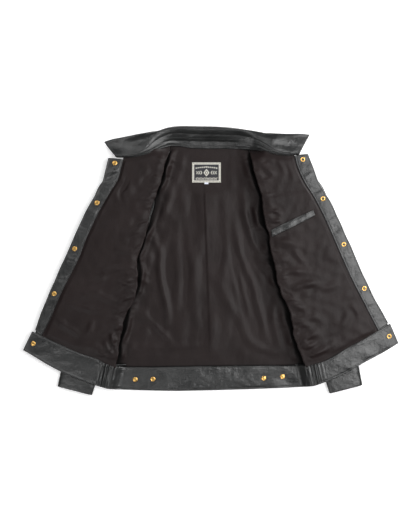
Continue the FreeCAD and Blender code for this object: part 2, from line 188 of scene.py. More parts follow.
def droop(x, y, side):
    """How far a front's outer part sinks below the level of its fold."""
    return 1.5 * smoothstep(fold_distance(x, y, side), 150, 225)


def trim_height(x, y, side):
    """Height of the underside of the leather trim on a front."""
    return FOLD_HEIGHT[side] + TRIM_LIFT - float(droop(x, y, side))


def ripple(x, y, wavelength, seed, stretch=(1, 1)):
    """The same kind of surface as field, at a single point."""
    return float(field(np.array(x), np.array(y), wavelength, seed, stretch=stretch))


def snap_dents(places, x, y):
    """The shallow dents that snaps press into the leather."""
    return -0.35 * sum(math.exp(-(((x - a) ** 2 + (y - b) ** 2) / 110.0)) for a, b in places)

# ---------------------------------------------------------------- meshes


def mesh_object(name, points, faces, material, smooth=True):
    """A new object from points in millimetres."""
    mesh = bpy.data.meshes.new(name)
    mesh.from_pydata((np.asarray(points, float) * MM).tolist(), [], faces)
    mesh.validate()
    mesh.update()
    if smooth:
        mesh.shade_smooth()
    piece = bpy.data.objects.new(name, mesh)
    bpy.context.scene.collection.objects.link(piece)
    piece.data.materials.append(material)
    return piece


def grid_faces(rows, columns, wrap_columns=False, wrap_rows=False, offset=0):
    """The quads of a grid of points, which may close on itself either way."""
    faces = []
    for i in range(rows if wrap_rows else rows - 1):
        for j in range(columns if wrap_columns else columns - 1):
            a = i * columns + j
            b = i * columns + (j + 1) % columns
            c = ((i + 1) % rows) * columns + (j + 1) % columns
            d = ((i + 1) % rows) * columns + j
            faces.append((offset + a, offset + b, offset + c, offset + d))
    return faces


def edit(piece, action):
    """Run one bmesh action on a piece's mesh."""
    shape = bmesh.new()
    shape.from_mesh(piece.data)
    action(shape)
    shape.to_mesh(piece.data)
    shape.free()


def fix_normals(piece):
    """Make a closed mesh's faces look outward."""
    edit(piece, lambda shape: bmesh.ops.recalc_face_normals(shape, faces=shape.faces))
    piece.data.shade_smooth()


def thicken(piece, thickness):
    """Give a surface real thickness, on the side that its faces look away from."""
    modifier = piece.modifiers.new("thickness", "SOLIDIFY")
    modifier.thickness = thickness * MM
    modifier.offset = -1


def round_off(piece):
    """Round a coarse mesh by one level of subdivision."""
    modifier = piece.modifiers.new("rounding", "SUBSURF")
    modifier.levels = 1
    modifier.render_levels = 1


def place(piece, slot, body, *nodes):
    """Attach a piece to the body it rides and hide the CAD nodes that it stands for; slot is not used."""
    if nodes:
        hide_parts(*nodes)
    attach(piece, body)


def folded_sheet(name, grid, material, thickness):
    """A sheet that bends over a fold: one surface, with its thickness on the side away from the lining."""
    piece = mesh_object(name, grid.reshape(-1, 3), grid_faces(*grid.shape[:2]), material)
    above_fold = 0.0215
    total = sum(face.normal.z * face.area for face in piece.data.polygons if face.center.z > above_fold)
    if total < 0:
        piece.data.flip_normals()
    thicken(piece, thickness)
    return piece


def strip(name, edge_a, edge_b, base, thickness, crown, relief, stitch_inset=SEAM_INSET,
          caps=True, rounded=True):
    """A padded strip of folded leather between two edges, each a row of points.

    base(x, y) gives the height of its underside, and relief(v, x, y) more height on top.
    """
    count = len(edge_a)
    across = edge_b - edge_a
    width = np.linalg.norm(across, axis=1)
    unit = across / width[:, None]
    radius = thickness / 2
    corner = [(radius - radius * math.cos(a), radius + radius * math.sin(a))
              for a in np.radians([-60, -20, 20, 60])]
    inner = [radius, stitch_inset - 1.2, stitch_inset, stitch_inset + 1.2, stitch_inset + 4]
    wide = width > 2 * inner[-1] + 8
    middle = 7 if wide.any() else 1
    rings = []
    for w, is_wide in zip(width, wide):
        if is_wide:
            between = np.linspace(inner[-1] + 3, w - inner[-1] - 3, middle)
            top = inner + list(between) + [w - k for k in inner[::-1]]
        else:
            top = np.linspace(radius, w - radius, 2 * len(inner) + middle)
        rings.append([(d, h, False) for d, h in corner] + [(d, thickness, True) for d in top]
                     + [(w - d, h, False) for d, h in reversed(corner)]
                     + [(w * 0.66, 0, False), (w * 0.33, 0, False)])
    columns = len(rings[0])
    points = np.zeros((count, columns, 3))
    for i in range(count):
        for j, (d, h, is_top) in enumerate(rings[i]):
            xy = edge_a[i, :2] + unit[i, :2] * d
            lift = base(xy[0], xy[1])
            if is_top:
                v = d / width[i]
                lift += crown * 4 * v * (1 - v)
                for seam in (stitch_inset, width[i] - stitch_inset):
                    lift -= 0.45 * math.exp(-((d - seam) / 0.9) ** 2)
                lift += relief(v, xy[0], xy[1])
            points[i, j] = (xy[0], xy[1], lift + h)
    faces = grid_faces(count, columns, wrap_columns=True)
    if caps:
        faces.append(tuple(range(columns))[::-1])
        faces.append(tuple((count - 1) * columns + j for j in range(columns)))
    piece = mesh_object(name, points.reshape(-1, 3), faces, leather)
    fix_normals(piece)
    if rounded:
        round_off(piece)
    return piece


def top_finder(piece):
    """A function that gives the height of a piece's upper surface above a point."""
    graph = bpy.context.evaluated_depsgraph_get()
    tree = BVHTree.FromObject(piece, graph)

    above = 0.2

    def height(x, y, default):
        hit = tree.ray_cast(Vector((x * MM, y * MM, above)), Vector((0, 0, -1)))
        return hit[0].z / MM if hit[0] is not None else default
    return height


def stitches(name, lines, pitch=3.4, length=2.5, radius=0.32):
    """Thread along lines of 3-D points: one bead for each stitch, lying just proud of the leather."""
    points, faces = [], []
    rows = [(-0.5, 0.35), (-0.3, 1.0), (0.3, 1.0), (0.5, 0.35)]
    sides = 6
    for line in lines:
        long = np.linalg.norm(np.diff(line, axis=0), axis=1).sum()
        ends = even(line, max(2, int(long / pitch) + 1))
        for a, b in zip(ends[:-1], ends[1:]):
            along = (b - a) / max(np.linalg.norm(b - a), 1e-9)
            side = np.cross(along, (0, 0, 1))
            side = side / max(np.linalg.norm(side), 1e-9)
            up = np.cross(side, along)
            start = len(points)
            for at, wide in rows:
                for k in range(sides):
                    turn = 2 * math.pi * k / sides
                    points.append((a + b) / 2 + along * at * length
                                  + (side * math.cos(turn) + up * math.sin(turn)) * radius * wide)
            faces += grid_faces(len(rows), sides, wrap_columns=True, offset=start)
            faces.append(tuple(start + k for k in range(sides))[::-1])
            faces.append(tuple(start + (len(rows) - 1) * sides + k for k in range(sides)))
    return mesh_object(name, np.array(points), faces, thread)


def offset_line(edge_a, edge_b, inset, start=0.0, end=1.0):
    """A line between two edges, inset from the first."""
    across = edge_b - edge_a
    unit = across / np.linalg.norm(across, axis=1)[:, None]
    line = edge_a + unit * inset
    first, last = int(start * (len(line) - 1)), int(end * (len(line) - 1)) + 1
    return line[first:last]


def on_surface(line, top, default):
    """Lay a flat line on a surface, or at the default height where it misses it."""
    return np.array([(p[0], p[1], top(p[0], p[1], default)) for p in line])


def seam_lines(edge_a, edge_b, top, default, inset=SEAM_INSET, start=0.0, end=1.0):
    """A seam along each long edge of a strip."""
    return [on_surface(offset_line(a, b, inset, start, end), top, default)
            for a, b in ((edge_a, edge_b), (edge_b, edge_a))]

# ---------------------------------------------------------------- materials


class Nodes:
    """A short way to build a material's node tree."""

    def __init__(self, name):
        self.material = bpy.data.materials.new(name)
        self.material.use_nodes = True
        self.tree = self.material.node_tree
        self.shader = self.tree.nodes["Principled BSDF"]
        self.place = self.add("ShaderNodeTexCoord").outputs["Object"]

    def add(self, kind, inputs=None, **settings):
        node = self.tree.nodes.new(kind)
        for key, value in settings.items():
            setattr(node, key, value)
        for key, value in (inputs or {}).items():
            self.put(node.inputs[key], value)
        return node

    def put(self, socket, value):
        if isinstance(value, bpy.types.NodeSocket):
            self.tree.links.new(value, socket)
        else:
            socket.default_value = value

    def set(self, **values):
        for key, value in values.items():
            self.put(self.shader.inputs[key.replace("_", " ")], value)

    def noise(self, scale, detail=3.0, roughness=0.5, vector=None):
        return self.add("ShaderNodeTexNoise", {"Vector": vector or self.place, "Scale": scale,
                                               "Detail": detail, "Roughness": roughness}).outputs["Fac"]

    def voronoi(self, scale, feature):
        node = self.add("ShaderNodeTexVoronoi", {"Vector": self.place, "Scale": scale}, feature=feature)
        return node.outputs["Distance"]

    def wave(self, scale, distortion, detail=2.0, **settings):
        return self.add("ShaderNodeTexWave", {"Vector": self.place, "Scale": scale, "Distortion": distortion,
                                              "Detail": detail}, **settings).outputs["Fac"]

    def ramp(self, value, stops):
        node = self.add("ShaderNodeValToRGB", {"Fac": value})
        elements = node.color_ramp.elements
        while len(elements) < len(stops):
            elements.new(0.5)
        for element, (at, colour) in zip(elements, stops):
            element.position = at
            element.color = colour
        return node.outputs["Color"]

    def remap(self, value, low, high, to_low, to_high):
        return self.add("ShaderNodeMapRange", {"Value": value, "From Min": low, "From Max": high,
                                               "To Min": to_low, "To Max": to_high}).outputs["Result"]

    def math(self, operation, a, b=0.0):
        node = self.add("ShaderNodeMath", operation=operation)
        self.put(node.inputs[0], a)
        self.put(node.inputs[1], b)
        return node.outputs[0]

    def bump(self, height, strength, distance, normal=None):
        node = self.add("ShaderNodeBump", {"Height": height, "Strength": strength, "Distance": distance})
        if normal is not None:
            self.put(node.inputs["Normal"], normal)
        return node.outputs["Normal"]

    def stretch(self, x, y, z):
        return self.add("ShaderNodeMapping", {"Vector": self.place, "Scale": (x, y, z)}).outputs["Vector"]


def leather_material():
    """Black full-grain cowhide: fine pebbled grain, soft creases and a waxed, slightly worn shine."""
    m = Nodes("black_leather")
    mottle = m.noise(22, 4, 0.6)
    fine = m.noise(260, 3, 0.55)
    cells = m.voronoi(520, "DISTANCE_TO_EDGE")
    pores = m.voronoi(900, "F1")
    wrinkle = m.noise(62, 4, 0.5, vector=m.stretch(1, 0.4, 1))
    grain = m.math("MULTIPLY", m.remap(cells, 0.0, 0.16, 0.0, 1.0), 0.7)
    grain = m.math("ADD", grain, m.math("MULTIPLY", pores, 0.3))
    colour = m.ramp(mottle, [(0.25, (0.0045, 0.0049, 0.0050, 1)), (0.75, (0.0115, 0.0122, 0.0121, 1))])
    m.set(Base_Color=colour)
    rough = m.math("ADD", m.remap(mottle, 0.2, 0.8, 0.24, 0.42), m.remap(fine, 0.2, 0.8, -0.03, 0.05))
    m.set(Roughness=rough, Specular_IOR_Level=0.56, Coat_Weight=0.14, Coat_Roughness=0.3)
    broad = m.noise(24, 3, 0.5, vector=m.stretch(0.7, 1, 1))
    normal = m.bump(broad, 0.8, 0.006)
    normal = m.bump(wrinkle, 0.62, 0.0022, normal)
    normal = m.bump(grain, 0.30, 0.00022, normal)
    normal = m.bump(fine, 0.15, 0.0003, normal)
    m.set(Normal=normal)
    return m.material


def lining_material():
    """Black satin lining with a brown cast: fine twill, a soft sheen, slight rumpling, and painted shade from
    ambient occlusion that darkens its colour in creases and hollows.
    """
    m = Nodes("lining_satin")
    weave = m.wave(620.0, 0.6, 1.0, bands_direction="DIAGONAL")
    cloud = m.noise(14, 4, 0.55)
    rumple = m.noise(38, 4, 0.5, vector=m.stretch(1, 0.5, 1))
    # painted shade: ambient occlusion darkens the base colour in creases, in the gutters beside the folds and
    # under overhanging parts, and makes it rougher there
    shade = m.add("ShaderNodeAmbientOcclusion", {"Distance": 0.07}, samples=8).outputs["AO"]
    deep = m.remap(shade, 0.50, 0.94, 0.08, 1.0)
    colour = m.ramp(cloud, [(0.3, (0.0112, 0.0072, 0.0070, 1)), (0.75, (0.0168, 0.0111, 0.0108, 1))])
    painted_shade_mix = m.add("ShaderNodeMix", {"Factor": 1.0}, data_type="RGBA", blend_type="MULTIPLY")
    m.put(painted_shade_mix.inputs[6], colour)
    m.put(painted_shade_mix.inputs[7], deep)
    m.set(Base_Color=painted_shade_mix.outputs[2])
    rough = m.math("ADD", m.remap(cloud, 0.2, 0.8, 0.38, 0.47), m.remap(shade, 0.55, 0.94, 0.4, 0.0))
    m.set(Roughness=rough, Specular_IOR_Level=0.16,
          Sheen_Weight=0.06, Sheen_Roughness=0.4, Sheen_Tint=(0.75, 0.66, 0.62, 1))
    normal = m.bump(rumple, 0.5, 0.0022)
    normal = m.bump(weave, 0.10, 0.00012, normal)
    m.set(Normal=normal)
    return m.material


def brass_material():
    """Polished brass with fine scuffs."""
    m = Nodes("snap_brass")
    scuff = m.noise(900, 3, 0.6)
    tarnish = m.noise(240, 2, 0.5)
    m.set(Base_Color=m.ramp(tarnish, [(0.3, (0.60, 0.34, 0.09, 1)), (0.7, (0.80, 0.50, 0.17, 1))]))
    m.set(Metallic=1.0, Roughness=m.remap(scuff, 0.3, 0.7, 0.20, 0.36))
    m.set(Normal=m.bump(scuff, 0.08, 0.0002))
    return m.material


def thread_material():
    """Bonded black thread, a little greyer than the leather."""
    m = Nodes("thread")
    twist = m.wave(900.0, 0.4)
    m.set(Base_Color=m.ramp(twist, [(0.2, (0.035, 0.035, 0.036, 1)), (0.8, (0.085, 0.085, 0.085, 1))]))
    m.set(Roughness=0.6, Normal=m.bump(twist, 0.3, 0.0002))
    return m.material


def woven_material(name, colour, dark):
    """A woven label's yarn, in one colour."""
    m = Nodes(name)
    weave = m.wave(1500.0, 0.5)
    m.set(Base_Color=m.ramp(weave, [(0.2, dark), (0.8, colour)]))
    m.set(Roughness=0.8, Sheen_Weight=0.2, Normal=m.bump(weave, 0.4, 0.0002))
    return m.material


def floor_material():
    """A matt white table top, lit a little from within so that it stays white in the corners."""
    m = Nodes("studio_floor")
    speck = m.noise(6, 2, 0.5)
    m.set(Base_Color=m.ramp(speck, [(0.3, (0.93, 0.93, 0.93, 1)), (0.7, (0.95, 0.95, 0.95, 1))]))
    m.set(Roughness=0.9, Specular_IOR_Level=0.2, Emission_Color=(1, 1, 1, 1), Emission_Strength=0.42)
    return m.material


leather = leather_material()
lining = lining_material()
brass = brass_material()
thread = thread_material()
label_pale = woven_material("label_pale", (0.72, 0.70, 0.63, 1), (0.48, 0.46, 0.40, 1))
label_white = woven_material("label_white", (0.80, 0.82, 0.90, 1), (0.55, 0.58, 0.70, 1))
label_black = woven_material("label_black", (0.030, 0.030, 0.036, 1), (0.012, 0.012, 0.016, 1))

# ---------------------------------------------------------------- outlines of the body


ARM = np.array([222.0, 150.0])
ARM_RADIUS = 77.0
ARM_END = -14.4                        # where the armhole's curve meets the side, in degrees
SHOULDER_TIP = np.array([222.0, 236.0])
SIDE_TOP = np.array([147.4, 130.9])
SIDE_HEM = np.array([275.0, -268.0])
SIDE_END = np.array([278.0, -277.0])


def boundary(rows):
    """The torso's edge on one side, from the neck point over the shoulder and armhole to the hem."""
    shoulder = np.linspace(NECK, SHOULDER_TIP, 14)
    angles = np.radians(np.linspace(90, ARM_END, 24))
    arm = np.stack([ARM[0] - ARM_RADIUS * np.cos(angles), ARM[1] + ARM_RADIUS * np.sin(angles)], axis=1)
    side = np.linspace(SIDE_TOP, SIDE_HEM, 40)
    line = np.vstack([shoulder, arm, side[1:], [SIDE_END]])
    return even(line, rows)


def shell(name, grid, thickness, material, open_start=False, open_end=False):
    """A closed sheet of real thickness below a grid of points; an open side is left without a rim."""
    rows, columns = grid.shape[:2]
    down_rows = np.gradient(grid, axis=0)
    down_columns = np.gradient(grid, axis=1)

    def unit(v):
        return v / np.maximum(np.linalg.norm(v, axis=2), 1e-9)[..., None]

    normal = unit(np.cross(down_rows, down_columns))
    if normal[..., 2].sum() < 0:
        normal = -normal
    high = grid.reshape(-1, 3)
    low = (grid - normal * thickness).reshape(-1, 3)
    size = rows * columns
    upper = grid_faces(rows, columns)
    faces = upper + [tuple(size + k for k in reversed(face)) for face in upper]
    extra = []

    def rim(indices, outward):
        outward = outward.reshape(-1, 3)
        start = size * 2 + len(extra)
        for k in indices:
            extra.append((high[k] + low[k]) / 2 + outward[k] * thickness * 0.35)
        for n, (a, b) in enumerate(zip(indices[:-1], indices[1:])):
            faces.append((a, b, start + n + 1, start + n))
            faces.append((start + n, start + n + 1, size + b, size + a))

    if not open_start:
        rim(range(columns), -unit(down_rows))
    if not open_end:
        rim(range(size - columns, size), unit(down_rows))
    rim(range(0, size, columns), -unit(down_columns))
    rim(range(columns - 1, size, columns), unit(down_columns))
    piece = mesh_object(name, np.vstack([high, low, np.array(extra)]), faces, material)
    fix_normals(piece)
    return piece


# ---------------------------------------------------------------- back

BACK_TOP = curve([(-108, 290), (-84, 292), (-41, 286), (10, 285), (44, 285), (84, 284), (108, 281)], 60)


def neck_rise(x, y):
    """How far the back's rows bend up to meet the neck seam."""
    rise = np.interp(x, BACK_TOP[:, 0], BACK_TOP[:, 1]) - NECK[1]
    rise = rise * smoothstep(np.abs(x), 125, 100)
    return rise * smoothstep(y, 215, NECK[1])


def back_grid(rows, columns, inset):
    """Rows across the whole back, from the shoulders to the hem, each from side seam to side seam."""
    edge = boundary(rows)
    grid = np.zeros((rows, columns, 3))
    for i, (x, y) in enumerate(edge):
        across = np.linspace(-(x - inset), x - inset, columns)
        grid[i, :, 0] = across
        grid[i, :, 1] = y + neck_rise(across, y)
    return grid


BACK_CREASES = [
    ([(-122, 60), (-129, 0), (-124, -60), (-110, -130), (-112, -190)], 7, 3.4),
    ([(-153, 90), (-138, 40), (-124, 6)], 6, 2.4),
    ([(-210, -227), (-140, -222), (-60, -219), (-3, -217)], 7, 1.6),
    ([(-189, -258), (-100, -255), (2, -248)], 6, 1.4),
    ([(-194, -38), (-174, -50), (-150, -64)], 6, 2.6),
    ([(-80, 115), (-86, 20), (-84, -70), (-88, -155)], 8, 2.0),
    ([(-44, 60), (-40, -60), (-39, -191)], 9, 1.5),
    ([(-174, -130), (-130, -180), (-91, -217)], 7, 2.6),
    ([(84, 182), (88, 130), (98, 80), (114, 35), (141, -4)], 7, 3.6),
    ([(63, 88), (74, 27), (90, -20), (107, -60), (125, -129), (143, -200)], 7, 3.4),
    ([(17, -46), (48, -108), (89, -180)], 9, 1.8),
    ([(112, 12), (128, -6), (150, -40)], 6, 2.8),
    ([(96, 150), (114, 118), (124, 80)], 6, 2.6),
    ([(168, -90), (160, -150), (176, -215)], 7, 3.0),
    ([(-96, 200), (-112, 140), (-134, 96)], 7, 2.4),
    ([(34, 170), (38, 60), (30, -60)], 9, 1.6),
    ([(-70, 60), (-60, -30), (-66, -120)], 6, -1.2),
    ([(-76, 268), (0, 262), (76, 266)], 8, -2.0),
    ([(52, 30), (70, -60), (92, -160)], 5, -1.4),
    ([(-60, 190), (-64, 120), (-58, 40)], 10, 1.2),
    ([(60, -150), (110, -214), (190, -246)], 9, 1.8),
]


def back_relief(x, y):
    """Soft rumpling of the back lining, deepest beside the folds and flat at the neck and hem."""
    beside = smoothstep(fold_distance(x, y, np.sign(x) + (x == 0)), -75, -5)
    calm = smoothstep(y, -268, -225) * smoothstep(y, 285, 240)
    height = 0.55 * field(x, y, 90, 3, stretch=(1, 1.8)) + 0.22 * field(x, y, 34, 4, stretch=(1, 1.5))
    height = height + beside * (0.9 * field(x, y, 42, 5, stretch=(0.8, 1.6)) + 1.2)
    for points, width, size in BACK_CREASES:
        height = height + crease(x, y, points, width * 1.15, size * 0.7)
    for side, count in ((RIGHT, 20), (LEFT, 16)):
        for points, width, size in gathers(side, 31, count, -1):
            height = height + crease(x, y, points, width * 1.2, size * 0.9)
    # the seam down the middle of the back, below the label, and the pleat beside it
    seam_off = x + 16 - (192 - y) * 0.036
    run = smoothstep(y, 196, 170) * smoothstep(y, -262, -200)
    pleat = np.where(seam_off > 0, np.exp(-seam_off / 26.0), np.exp(-(seam_off / 1.6) ** 2)) * 1.7 * run
    seam = np.exp(-(seam_off / 1.4) ** 2) * run
    # flat under the label
    label_x, label_y = np.abs(x + 10.5) - 38, np.abs(y - 222) - 30
    quiet = smoothstep(np.maximum(label_x, label_y), 0, 26)
    soft = np.clip(height * calm, -0.7, 9) + 0.8 * calm + pleat - 0.5 * seam
    return soft * (0.04 + 0.96 * quiet) + fold_rise(x, y)


def edge_distance(x, y, side):
    """How far a point lies outboard of the fold's true, uneven edge."""
    edge = np.array(FOLD_EDGE[side], float)[::-1]
    slant = 0.968
    return (side * x - np.interp(y, edge[:, 1], side * edge[:, 0])) * slant


# The lining beside each fold: the crest's height, how far out it starts to climb, and the gutter's width.
CREST = {RIGHT: 4.6, LEFT: 4.0}
CLIMB = {RIGHT: 24.0, LEFT: 34.0}
GUTTER = {RIGHT: 8.0, LEFT: 13.0}


def fold_rise(x, y):
    """How the back lining climbs to a crest beside each fold, then drops into the gutter there."""
    total = np.zeros_like(x, float)
    for side in (RIGHT, LEFT):
        beside = edge_distance(x, y, side)
        uneven = field(0 * y, y, 62, 17 + side)
        gutter = GUTTER[side] + 3.4 * uneven + 5 * smoothstep(y, -205, -245) + 4 * smoothstep(y, 225, 265)
        gutter = np.maximum(gutter, 3.0)
        crest = CREST[side] + 1.4 * field(0 * y, y, 48, 27 + side) + 2.0 * smoothstep(y, 110, 210)
        crest = crest * smoothstep(y, -264, -238) * smoothstep(y, 286, 262)
        climb = smoothstep(beside, -CLIMB[side], -gutter) ** 1.3
        drop = 1 - smoothstep(beside, -gutter, -1.0)
        total = total + crest * climb * drop
    return total


def make_back():
    """The back's lining, and the leather of its panel and yoke below it."""
    rows = 150
    grid = back_grid(rows, 190, 2.4)
    x, y = grid[..., 0], grid[..., 1]
    room = smoothstep(np.hypot(np.abs(x) - ARM[0], y - ARM[1]), 84, 104)
    grid[..., 2] = LINING_LEVEL + LINING_CLOTH + back_relief(x, y) * (0.12 + 0.88 * room)
    piece = shell("back_lining_cloth", grid, LINING_CLOTH, lining)
    place(piece, "lining_satin", "root", "back_lining")

    grid = back_grid(rows, 60, 0.0)
    grid[..., 2] = BACK_LEATHER
    # the leather reaches a little further under the sleeves' heads than the armholes' seam
    beside = np.abs(grid[..., 0]) - ARM[0]
    above = grid[..., 1] - ARM[1]
    reach = np.hypot(beside, above)
    under_sleeve = 1 - 6.0 * smoothstep(reach, 100, ARM_RADIUS) / reach
    grid[..., 0] = np.sign(grid[..., 0]) * (ARM[0] + beside * under_sleeve)
    grid[..., 1] = ARM[1] + above * under_sleeve
    grid[..., 1] = np.where(grid[..., 1] > NECK[1], NECK[1] + (grid[..., 1] - NECK[1]) * 0.8, grid[..., 1])
    yoke_rows = int(np.argmin(np.abs(grid[:, 0, 1] - ARM[1]))) + 1
    panel = shell("back_leather", grid[yoke_rows - 2:], BACK_LEATHER, leather)
    place(panel, "black_leather", "root", "back_panel")
    yoke = shell("yoke_leather", grid[:yoke_rows], BACK_LEATHER, leather)
    place(yoke, "black_leather", "root", "back_yoke")


# ---------------------------------------------------------------- fronts

FRONT_CREASES = {
    RIGHT: [
        ([(-210, 214), (-215, 190), (-229, 168), (-224, 148)], 4.5, -2.2),
        ([(-200, 200), (-206, 178), (-214, 160)], 9, 1.4),
        ([(-285, -44), (-251, -25), (-190, -15)], 7, 3.2),
        ([(-312, -66), (-290, -54), (-262, -44)], 6, 2.4),
        ([(-298, -150), (-304, -170), (-308, -190)], 6, 2.2),
        ([(-258, -212), (-244, -186), (-229, -156)], 7, 2.8),
        ([(-398, -146), (-360, -172), (-326, -194)], 7, 2.4),
        ([(-243, -70), (-218, -56), (-192, -44)], 7, 2.8),
        ([(-357, -110), (-312, -124), (-264, -130)], 8, 2.2),
        ([(-295, -80), (-266, -98), (-239, -115)], 7, 2.4),
        ([(-171, 92), (-196, 70), (-222, 64)], 7, 2.6),
        ([(-180, 24), (-212, 22), (-246, 30)], 7, 2.2),
        ([(-140, 172), (-164, 158), (-190, 156)], 7, 2.0),
        ([(-205, -96), (-232, -104), (-262, -96)], 6, 2.2),
        ([(-246, -240), (-290, -222), (-340, -214)], 8, 1.8),
        ([(-150, 236), (-176, 214), (-196, 186)], 8, 1.6),
        ([(-236, -238), (-246, -214), (-252, -186)], 4, 2.6),
        ([(-240, -246), (-258, -228), (-272, -204)], 4, 2.4),
        ([(-241, -252), (-262, -244), (-288, -236)], 3.5, 2.2),
        ([(-230, -206), (-240, -190), (-248, -168)], 4, -2.2),
    ],
    LEFT: [
        ([(139, 143), (160, 128), (184, 112)], 6, 2.6),
        ([(146, 86), (162, 95), (180, 104)], 6, 2.4),
        ([(198, -110), (218, -118), (242, -124)], 6, 2.6),
        ([(209, 24), (222, 10), (236, -8)], 6, 2.4),
        ([(273, -74), (300, -68), (330, -60)], 7, 2.0),
        ([(248, -244), (282, -228), (320, -209)], 7, 2.4),
        ([(123, 246), (144, 230), (164, 211)], 6, 2.2),
        ([(200, -72), (238, -62), (278, -54)], 7, 3.0),
        ([(356, -110), (370, -130), (381, -152)], 6, 1.8),
        ([(217, -198), (246, -190), (278, -179)], 7, 2.8),
        ([(170, 257), (182, 236), (195, 211)], 6, 1.8),
        ([(184, 261), (200, 232), (214, 196)], 6, 1.6),
        ([(160, 40), (190, 46), (226, 38)], 7, 2.4),
        ([(176, -40), (206, -30), (244, -28)], 7, 2.8),
        ([(206, -150), (240, -150), (276, -140)], 7, 2.2),
        ([(300, -190), (336, -160), (366, -120)], 9, 1.4),
        ([(238, -246), (264, -240), (296, -226)], 4, 2.8),
        ([(236, -240), (256, -226), (284, -212)], 4, -2.0),
        ([(226, -222), (240, -204), (262, -190)], 4, 2.4),
        ([(214, -190), (226, -172), (244, -160)], 4, 2.0),
    ],
}


def wander(line, side, size, wavelength, seed):
    """Shift a line sideways by a little soft unevenness, but not at its ends."""
    share = np.linspace(0, 1, len(line))
    shift = field(line[:, 0], line[:, 1], wavelength * 2.4, seed) * size
    shift = shift + field(line[:, 0], line[:, 1], wavelength * 0.7, seed + 7) * size * 0.35
    shift = shift * smoothstep(share, 0, 0.12) * smoothstep(share, 1, 0.94)
    return line + np.column_stack([shift * side, shift * 0.25])


def front_patch(side, rows, columns, low, high, first, last):
    """A front's surface between its fold edge (low), its outer edge (high), the neck and the hem."""
    fold = wander(curve(low, rows), side, 1.5, 34, 50 + side)
    return coons(curve(first, columns), curve(last, columns), fold, curve(high, rows))


def gathers(side, seed, count, outward):
    """Short fine creases running away from a side's fold, as (points, width, height)."""
    random = np.random.default_rng(seed + side)
    edge = curve(FOLD_EDGE[side], 200)
    out = []
    for k in range(count):
        x, y = edge[int(8 + 184 * (k + random.uniform(0.1, 0.9)) / count)]
        reach = random.uniform(16, 46)
        turn = random.uniform(-0.65, 0.45)
        ahead = side * outward * math.cos(turn)
        bend = random.uniform(-5, 5)
        points = [(x - 4 * side * outward, y),
                  (x + ahead * reach * 0.5, y + math.sin(turn) * reach * 0.5 + bend),
                  (x + ahead * reach, y + math.sin(turn) * reach)]
        width = random.uniform(2.0, 3.6)
        height = random.uniform(0.6, 1.7) * (1 if random.random() > 0.3 else -0.8)
        out.append((points, width, height))
    return out


def lining_relief(x, y, side, across, along):
    """The front lining's softness: puffed between its seams, creased from the fold outwards."""
    # flat along the placket, the neck and the waistband
    seams = smoothstep(across, 1.0, 0.93) * smoothstep(along, 0.0, 0.04) * smoothstep(along, 1.0, 0.965)
    near_fold = smoothstep(across, 0.45, 0.0)
    height = 0.40 * field(x, y, 80, 10 + side, stretch=(1.4, 1)) + 0.20 * field(x, y, 30, 20 + side)
    height = height + near_fold * 0.8 * field(x, y, 36, 30 + side, stretch=(1.5, 0.8))
    for points, width, size in FRONT_CREASES[side]:
        height = height + crease(x, y, points, width * 1.15, size * 0.8)
    for points, width, size in gathers(side, 11, 30, 1):
        height = height + crease(x, y, points, width, size)
    full = 1.5 * smoothstep(across, 0.0, 0.13)
    return -1.5 * (1 - seams) + seams * (full + 0.3 + np.clip(height, -1.0, 6))


def fold_over(grid, side, radius, steps, under, below):
    """Turn a front's inner edge over its fold and carry it back outwards underneath.

    The grid's first column is the fold edge; under gives the end of each row below, and below[k]
    the heights at step k on the way there.
    """
    edge = grid[:, 0]
    along = np.gradient(edge[:, :2], axis=0)
    along /= np.linalg.norm(along, axis=1)[:, None]
    inward = np.stack([-along[:, 1], along[:, 0]], axis=1)
    inward *= -side * np.sign(inward[:, :1])
    columns = []
    count = len(below)
    for k in range(count - 1, 0, -1):
        share = k / (count - 1)
        columns.append(np.column_stack([edge[:, :2] * (1 - share) + under * share, below[k]]))
    for angle in np.radians(np.linspace(-90, 90, steps))[:-1]:
        xy = edge[:, :2] + inward * radius * math.cos(angle)
        columns.append(np.column_stack([xy, edge[:, 2] - radius + radius * math.sin(angle)]))
    return np.concatenate([np.stack(columns, axis=1), grid], axis=1)


def rows_beside(side, edge, clearance):
    """For every point of a fold edge, the torso's edge at the same height up the jacket."""
    line = boundary(400)
    line = line[np.argsort(line[:, 1])]
    y = edge[:, 1]
    return np.column_stack([side * (np.interp(y, line[:, 1], line[:, 0]) - clearance), y])


def bend(piece, side, start, end):
    """Bake a piece's transform into its mesh; it does not bend the piece, and side, start and end are not
    used.
    """
    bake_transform(piece)


FOLD_ACROSS = (0.9679, 0.2514)         # a unit step outboard from the fold line
FOLD_MIDDLE = 0.17                     # in metres; only the height counts here


def across_fold(piece, side, span):
    """Work out two points across the fold line, at two distances outboard of it, and pass them to bend, which
    only bakes the piece's transform.
    """
    outward = np.array([side * FOLD_ACROSS[0], FOLD_ACROSS[1]])
    middle = np.array([side * NECK[0], NECK[1]])
    a, b = (middle + outward * distance for distance in span)
    height = FOLD_HEIGHT[side] * MM
    bend(piece, side, (a[0] * MM, a[1] * MM, height), (b[0] * MM, b[1] * MM, height))


def over_fold(piece, side, span):
    """Work out two points, below the fold and above it, and pass them to bend, which only bakes the piece's
    transform.
    """
    start, end = ((side * FOLD_MIDDLE, 0.0, (FOLD_HEIGHT[side] + off) * MM) for off in span)
    bend(piece, side, start, end)


def neck_dip(x, y, side):
    """How the front sinks to the back's level at the neck point."""
    away = np.hypot(x - side * 101, y - 290)
    neck_level = 4.5
    return (FOLD_HEIGHT[side] - neck_level) * (1 - smoothstep(away, 6, 46))


